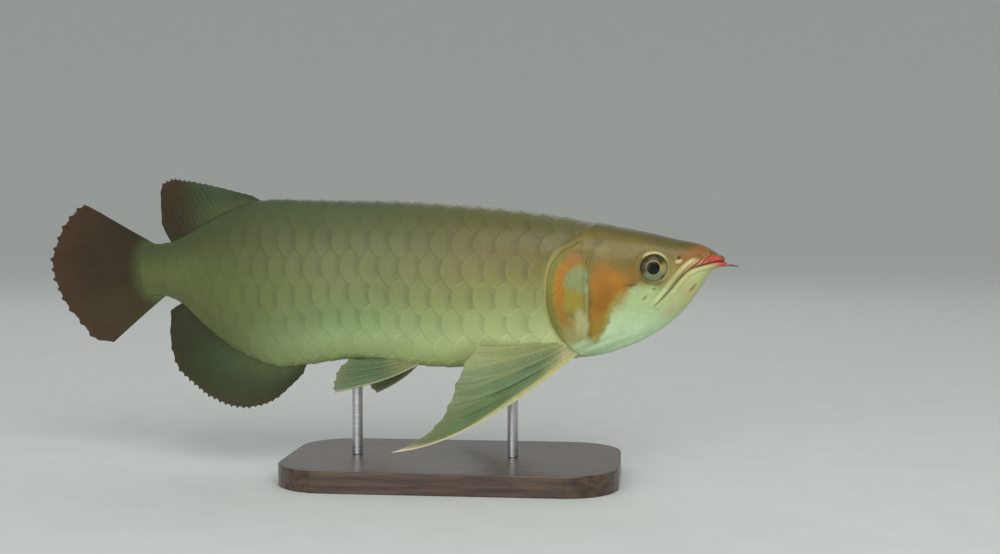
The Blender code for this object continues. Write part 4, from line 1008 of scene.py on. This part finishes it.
def pectoral_paint(share, t, ray):
    colour = coated(
        PECTORAL_WEB,
        (PECTORAL_INNER, rise(share, 0.62, 0.95)),
        (PECTORAL_CREAM, 0.9 * fall(t + 0.2 * share, 0.12, 0.42)),
        (PECTORAL_CREAM, 0.2 * ray * rise(share, 0.3, 0.6)))
    for at, low, high, depth in PECTORAL_STREAKS:
        streak = bump(share - at - 0.03 * t, 0, 0.02) * window(t, low, high, 0.08)
        colour = mixed(colour, PECTORAL_STREAK, depth * streak)
    lead = mixed(PECTORAL_CREAM, PECTORAL_TIP, 0.7 * rise(t, 0.6, 0.9))
    wide = 0.36 - 0.22 * rise(t, 0.4, 0.8)
    return coated(
        colour,
        (PECTORAL_TIP, 0.3 * rise(t, 0.84, 1.0) * fall(share, 0.4, 0.7)),
        (lead, 0.85 * fall(share / wide, 0.5, 1.0)),
        # A painted highlight along the leading edge.
        (PAINTED_EDGE_HIGHLIGHT, 0.95 * fall(share, 0.02, 0.07) * rise(t, 0.2, 0.4)))


def pelvic_paint(share, t, ray):
    return coated(
        PECTORAL_WEB * 0.92,
        (PECTORAL_OLIVE, 0.6 * fall(t, 0.1, 0.5)),
        (PECTORAL_STREAK, 0.2 * (1 - ray) * rise(t, 0.2, 0.5)),
        # A painted highlight along the leading edge.
        (PECTORAL_TIP, 0.35 * rise(t, 0.85, 1.0)),
        (PAINTED_EDGE_HIGHLIGHT, 0.35 * fall(share, 0.02, 0.12)))


def make_fins():
    """The three dark fins on the middle plane and the four pale ones at the sides."""
    dorsal = median_middle(DORSAL_RAYS, bow=-0.6 * MM, curl=1.0 * MM)
    anal = median_middle(ANAL_RAYS, bow=0.8 * MM, curl=1.5 * MM)
    caudal = median_middle(CAUDAL_RAYS, curl=2.0 * MM)
    dark = [
        make_fin("dorsal_fin", dorsal, dorsal_paint, rays=20, per_ray=8, rows=30, ridge=0.1),
        make_fin("anal_fin", anal, anal_paint, rays=27, per_ray=8, rows=32, notch=0.05, ridge=0.1),
        make_fin("caudal_fin", caudal, caudal_paint, rays=16, per_ray=14, rows=56, splits=(0.22, 0.5),
                 notch=0.035, corners=(0.08, 0.035), ridge=0.12),
    ]
    pale = []
    for half, side, scale in (("right", -1, (1, 1, 1)), ("left", 1, FAR_PECTORAL_SCALE)):
        middle = paired_middle(PECTORAL_RAYS, PECTORAL_ROOT, side, *PECTORAL_BEND, scale)
        pale.append(make_fin(f"pectoral_fin_{half}", middle, pectoral_paint, rays=7, per_ray=16, rows=90,
                             splits=(0.3, 0.6), notch=0.02))
    for half, side, rays in (("right", -1, PELVIC_RAYS_NEAR), ("left", 1, PELVIC_RAYS_FAR)):
        middle = paired_middle(rays, PELVIC_ROOT, side, PELVIC_BOW)
        pale.append(make_fin(f"pelvic_fin_{half}", middle, pelvic_paint, rays=6, per_ray=14, rows=50,
                             notch=0.03))
    return dark, pale


PUPIL_BLACK = linear(10, 11, 6)
PUPIL_RING = linear(196, 164, 84)
IRIS_GREEN = linear(112, 124, 92)
IRIS_KHAKI = linear(150, 140, 84)
IRIS_OLIVE = linear(58, 54, 18)
IRIS_DARK = linear(50, 44, 16)
EYE_RINGS, EYE_AROUND = 108, 96


def iris_paint(r, turn):
    """The iris, its golden ring and the pupil, by millimetres from the middle and the turn up from ahead."""
    up, fore = np.sin(turn), np.cos(turn)
    pupil = np.hypot(r * fore + 0.6, r * up - 0.1)
    fibres = np.sin(turn * 34) * 0.5 + np.sin(turn * 57 + 1.3) * 0.5
    colour = coated(
        IRIS_GREEN,
        (IRIS_KHAKI, 0.8 * rise(fore, 0.3, 0.8) * rise(up, -0.7, -0.1)),
        (IRIS_OLIVE, rise(up - 0.5 * fore, -0.35, 0.35)),
        (IRIS_DARK, 0.7 * rise(up - 0.75 * fore, 0.1, 0.8) * rise(r, 3.6, 6.5)),
        (IRIS_DARK, 0.35 * rise(r, 6.2, 7.1)),
        (PUPIL_BLACK, 0.8 * blot((r * fore, r * up), (4.6, -4.6, 1.3, 0.5, 0.9, 0.4))))
    colour = colour * (1 + 0.08 * fibres * rise(r, 4.2, 5.2))[..., None]
    return coated(
        colour,
        (PUPIL_RING, (0.24 + 0.3 * up) * bump(pupil, 3.95, 0.4)),
        (PUPIL_BLACK, fall(pupil, 3.35, 3.85)))


def make_eye(side):
    """An eyeball, as rings from its front to its back, with a point at each pole."""
    surface, normal = flank(EYE_BACK * MM, EYE_HEIGHT * MM, side)
    ahead = Vector((1, 0, 0))
    ahead = (ahead - normal * ahead.dot(normal)).normalized()
    upward = normal.cross(ahead) * -side
    latitude = (np.linspace(0, 1, EYE_RINGS + 2) ** 0.85) * math.pi
    angle = np.arange(EYE_AROUND) * 2 * math.pi / EYE_AROUND
    rings, turn = np.meshgrid(latitude[1:-1], angle, indexing="ij")
    rings, turn = np.append(rings, (0, math.pi)), np.append(turn, (0, 0))
    r = np.sin(rings) * EYE_RADIUS
    local = np.stack([r * np.cos(turn), r * np.sin(turn), np.cos(rings) * EYE_DEPTH], axis=-1)
    points = np.array(surface - normal * EYE_SINKS) + local @ np.array([ahead, upward, normal])
    front = rings < math.pi / 2
    colours = np.where(front[:, None], iris_paint(r / MM, turn), PUPIL_BLACK)
    spread = local[:, :2] / (2.2 * EYE_RADIUS) + 0.5
    uv = np.stack([spread[:, 0] * 0.5 + np.where(front, 0, 0.5), spread[:, 1]], axis=-1)
    fans = np.vstack(end_fans(EYE_RINGS, EYE_AROUND))[:, ::-1].tolist()
    name = "eye_left" if side > 0 else "eye_right"
    return mesh_piece(name, placed(points), ring_quads(EYE_RINGS, EYE_AROUND) + fans, colours, uv)


BARBEL_LENGTH, BARBEL_RADIUS = 9.1 * MM, 0.72 * MM
BARBEL_BACK, BARBEL_OUT, BARBEL_HEIGHT = 1.6 * MM, 1.7 * MM, 2.0 * MM
BARBEL_RINGS, BARBEL_AROUND = 40, 20
BARBEL_TIP = linear(74, 66, 58)


def make_barbel(side):
    """A chin barbel: red at its root and dark at its tip."""
    t = np.linspace(0, 1, BARBEL_RINGS)
    forward = BARBEL_LENGTH * t
    centre = np.stack([forward - BARBEL_BACK, side * (BARBEL_OUT + 0.16 * forward * t),
                       BARBEL_HEIGHT + forward * (0.03 - 0.12 * t)], axis=-1)
    radius = BARBEL_RADIUS * (1 - 0.72 * t**1.2) * np.sqrt(np.clip((1 - t) / 0.05, 0, 1) * 0.97 + 0.03)
    radius = radius * (1 + 0.35 * fall(t, 0.1, 0.35))
    turn = np.arange(BARBEL_AROUND) * 2 * math.pi / BARBEL_AROUND
    ring = np.stack([np.zeros_like(turn), np.cos(turn), np.sin(turn)], axis=-1)
    points = placed((centre[:, None] + radius[:, None, None] * ring).reshape(-1, 3))
    order = list(range(len(points)))
    faces = ring_quads(BARBEL_RINGS, BARBEL_AROUND) + [order[:BARBEL_AROUND], order[:-BARBEL_AROUND - 1:-1]]
    shade = mixed(LIP_RED, BARBEL_TIP, rise(t, 0.15, 0.55))
    name = "barbel_left" if side > 0 else "barbel_right"
    return mesh_piece(name, points, faces, np.repeat(shade, BARBEL_AROUND, axis=0))


class Nodes:
    """A material's nodes, with short calls to add and link them."""

    def __init__(self, name, **sockets):
        self.material = bpy.data.materials.new(name)
        self.material.use_nodes = True
        self.tree = self.material.node_tree
        self.shader = self.tree.nodes["Principled BSDF"]
        self.set(self.shader, {key.replace("_", " "): value for key, value in sockets.items()})

    def set(self, node, sockets):
        """Gives each of a node's sockets its value, or links it to the output given."""
        for key, value in sockets.items():
            if isinstance(value, bpy.types.NodeSocket):
                self.tree.links.new(value, node.inputs[key])
            else:
                node.inputs[key].default_value = value

    def add(self, kind, output, sockets, **settings):
        """An output of a new node."""
        node = self.tree.nodes.new("ShaderNode" + kind)
        for key, value in settings.items():
            setattr(node, key, value)
        self.set(node, sockets)
        return node.outputs[output]

    def noise(self, scale, detail=4.0, stretch=None):
        """A noise over the piece's own coordinates, in features per metre."""
        place = self.add("TexCoord", "Object", {})
        if stretch:
            place = self.add("Mapping", "Vector", {"Vector": place, "Scale": stretch})
        return self.add("TexNoise", "Fac", {"Vector": place, "Scale": scale, "Detail": detail})

    def ramp(self, value, low, high, floor=0.0, ceiling=1.0):
        """A value mapped from low..high to floor..ceiling."""
        ends = {"From Min": low, "From Max": high, "To Min": floor, "To Max": ceiling}
        return self.add("MapRange", "Result", {"Value": value, **ends})

    def mix(self, weight, first, second):
        """A colour between two, the first a paint or an output and the second a paint."""
        if not isinstance(first, bpy.types.NodeSocket):
            first = (*first, 1)
        return self.add("Mix", 2, {"Factor": weight, 6: first, 7: (*second, 1)}, data_type="RGBA")

    def math(self, operation, *values):
        return self.add("Math", 0, dict(enumerate(values)), operation=operation)

    def attribute(self, name):
        return self.add("Attribute", "Fac", {}, attribute_name=name)

    def colour(self, colour):
        self.set(self.shader, {"Base Color": colour})

    def roughen(self, value, low, high):
        self.set(self.shader, {"Roughness": self.ramp(value, 0.3, 0.7, low, high)})

    def bumps(self, height, strength, distance):
        sockets = {"Height": height, "Strength": strength, "Distance": distance}
        self.set(self.shader, {"Normal": self.add("Bump", "Normal", sockets)})

    def painted(self, fine, coarse, amount):
        """Sets the piece's painted colour, broken up by two noises, and gives the finer one."""
        speck, cloud = (self.ramp(self.noise(scale, detail), 0.3, 0.7, 1 - amount, 1 + amount)
                        for scale, detail in ((fine, 5.0), (coarse, 3.0)))
        paint = self.add("Attribute", "Color", {}, attribute_name="Paint")
        sockets = {0: paint, "Scale": self.math("MULTIPLY", speck, cloud)}
        self.colour(self.add("VectorMath", 0, sockets, operation="SCALE"))
        return speck


def skin_material():
    """Wet skin over bone."""
    nodes = Nodes("fish_skin", Coat_Weight=0.1, Coat_Roughness=0.2, Subsurface_Weight=0.05,
                  Subsurface_Scale=0.003, Specular_IOR_Level=0.3)
    speck = nodes.painted(900, 130, 0.07)
    pores = nodes.math("MULTIPLY", nodes.noise(2600, 3.0), 0.5)
    nodes.bumps(nodes.math("ADD", speck, pores), 0.25, 0.0003)
    nodes.roughen(nodes.noise(400), 0.33, 0.5)
    return nodes.material


def scale_material():
    """Satin scales with fine growth lines."""
    nodes = Nodes("fish_scales", Coat_Weight=0.08, Coat_Roughness=0.2, Subsurface_Weight=0.03,
                  Subsurface_Scale=0.002, Specular_IOR_Level=0.3)
    speck = nodes.painted(700, 60, 0.06)
    lines = nodes.math("SINE", nodes.math("MULTIPLY", nodes.attribute("Length"), 150.0))
    nodes.bumps(nodes.math("ADD", nodes.math("MULTIPLY", lines, 0.15), speck), 0.2, 0.0002)
    nodes.roughen(nodes.noise(300), 0.3, 0.46)
    return nodes.material


def fin_material(name, roughness, glow):
    """Thin fin skin, with joints across its rays."""
    nodes = Nodes(name, Roughness=roughness, Coat_Weight=0.03, Coat_Roughness=0.3, Subsurface_Weight=glow,
                  Subsurface_Scale=0.004, Subsurface_Radius=(1, 1, 0.8), Specular_IOR_Level=0.22)
    speck = nodes.painted(600, 90, 0.09)
    wave = nodes.math("SINE", nodes.math("MULTIPLY", nodes.attribute("Along"), 260.0))
    joints = nodes.math("MULTIPLY", nodes.ramp(wave, 0.4, 1.0, 0.0, 0.5), nodes.attribute("Ray"))
    nodes.bumps(nodes.math("ADD", speck, joints), 0.3, 0.0003)
    return nodes.material


def eye_material():
    """A wet, clear eye."""
    nodes = Nodes("fish_eye", Roughness=0.35, Coat_Weight=0.22, Coat_Roughness=0.04, Specular_IOR_Level=0.12)
    nodes.painted(1500, 700, 0.08)
    return nodes.material


def barbel_material():
    """Wet skin, glossier than the head's."""
    nodes = Nodes("fish_barbel", Roughness=0.38, Coat_Weight=0.4, Coat_Roughness=0.2, Subsurface_Weight=0.1,
                  Subsurface_Scale=0.002)
    nodes.bumps(nodes.painted(1800, 500, 0.1), 0.3, 0.0002)
    return nodes.material


def wood_material():
    """Dark stained wood with a satin varnish."""
    nodes = Nodes("stand_wood", Coat_Weight=0.25, Coat_Roughness=0.25)
    grain = nodes.noise(30, 6.0, stretch=(1, 14, 14))
    pores = nodes.noise(160, 3.0, stretch=(1, 12, 12))
    colour = nodes.mix(nodes.ramp(grain, 0.35, 0.65), linear(46, 34, 26), linear(84, 62, 46))
    nodes.colour(nodes.mix(nodes.ramp(pores, 0.55, 0.7, 0.0, 0.5), colour, linear(30, 22, 17)))
    nodes.bumps(nodes.math("ADD", grain, pores), 0.12, 0.0004)
    nodes.roughen(pores, 0.3, 0.45)
    return nodes.material


def steel_material():
    """Brushed steel, with its marks round the rod."""
    nodes = Nodes("stand_steel", Metallic=1.0)
    marks = nodes.noise(60, 5.0, stretch=(1, 1, 60))
    nodes.colour(nodes.mix(nodes.ramp(marks, 0.3, 0.7), linear(168, 168, 170), linear(205, 205, 206)))
    nodes.roughen(marks, 0.22, 0.42)
    nodes.bumps(marks, 0.1, 0.0002)
    return nodes.material


def floor_material():
    nodes = Nodes("floor_paint", Roughness=0.75, Specular_IOR_Level=0.2)
    speck = nodes.ramp(nodes.noise(40), 0.3, 0.7)
    nodes.colour(nodes.mix(speck, linear(204, 208, 205), linear(208, 212, 209)))
    return nodes.material


def dress(material, *things):
    for thing in things:
        thing.data.materials.clear()
        thing.data.materials.append(material)


def make_stage():
    """A plain pale floor that curves up into a rim far off."""
    climb = np.linspace(0, math.radians(80), 14)[1:]
    reach = np.concatenate([[1.0, 2.2, FLOOR_FLAT], FLOOR_FLAT + FLOOR_CURVE * np.sin(climb)])
    height = np.concatenate([[0, 0, 0], FLOOR_CURVE * (1 - np.cos(climb))])
    turn = np.arange(FLOOR_AROUND) * 2 * math.pi / FLOOR_AROUND
    points = np.stack([reach[:, None] * np.cos(turn), reach[:, None] * np.sin(turn),
                       np.broadcast_to(height[:, None], (len(reach), FLOOR_AROUND))], axis=-1).reshape(-1, 3)
    mesh = bpy.data.meshes.new("floor")
    mesh.from_pydata(points.tolist(), [], ring_quads(len(reach), FLOOR_AROUND) + [list(range(FLOOR_AROUND))])
    mesh.shade_smooth()
    floor = added("floor", mesh)
    dress(floor_material(), floor)


def light_stage():
    """Round soft lamps that shine on the fish, and an even grey sky."""
    for name, place, size, power in LAMPS:
        light = bpy.data.lights.new(name, "AREA")
        light.shape = "DISK"
        light.size = size
        light.energy = power
        thing = added(name, light)
        thing.location = place
        aim = Vector((0, 0, AXIS_HEIGHT)) - Vector(place)
        thing.rotation_euler = aim.to_track_quat("-Z", "Y").to_euler()
    world = bpy.data.worlds.new("studio")
    world.use_nodes = True
    background = world.node_tree.nodes["Background"]
    background.inputs["Color"].default_value = (*SKY, 1)
    background.inputs["Strength"].default_value = SKY_STRENGTH
    bpy.context.scene.world = world
    bpy.context.scene.view_settings.view_transform = "Standard"


def make_camera():
    azimuth, elevation = math.radians(VIEW_AZIMUTH), math.radians(VIEW_ELEVATION)
    level = math.cos(elevation)
    back = Vector((math.sin(azimuth) * level, -math.cos(azimuth) * level, math.sin(elevation)))
    camera = added("camera", bpy.data.cameras.new("camera"))
    camera.location = Vector(VIEW_TARGET) + back * VIEW_DISTANCE
    camera.rotation_euler = back.to_track_quat("Z", "Y").to_euler()
    camera.data.angle = math.radians(VIEW_ANGLE)
    camera.data.clip_start = 0.01
    bpy.context.scene.camera = camera


def main():
    make_camera()
    make_stage()
    light_stage()
    dress(skin_material(), make_skin())
    dress(scale_material(), *make_scales())
    dark, pale = make_fins()
    dress(fin_material("fin_dark", 0.45, 0.08), *dark)
    dress(fin_material("fin_pale", 0.42, 0.2), *pale)
    dress(eye_material(), make_eye(1), make_eye(-1))
    dress(barbel_material(), make_barbel(1), make_barbel(-1))
    nodes = frame["nodes"]
    dress(wood_material(), nodes["stand_base"])
    dress(steel_material(), nodes["stand_rod_front"], nodes["stand_rod_rear"])


main()
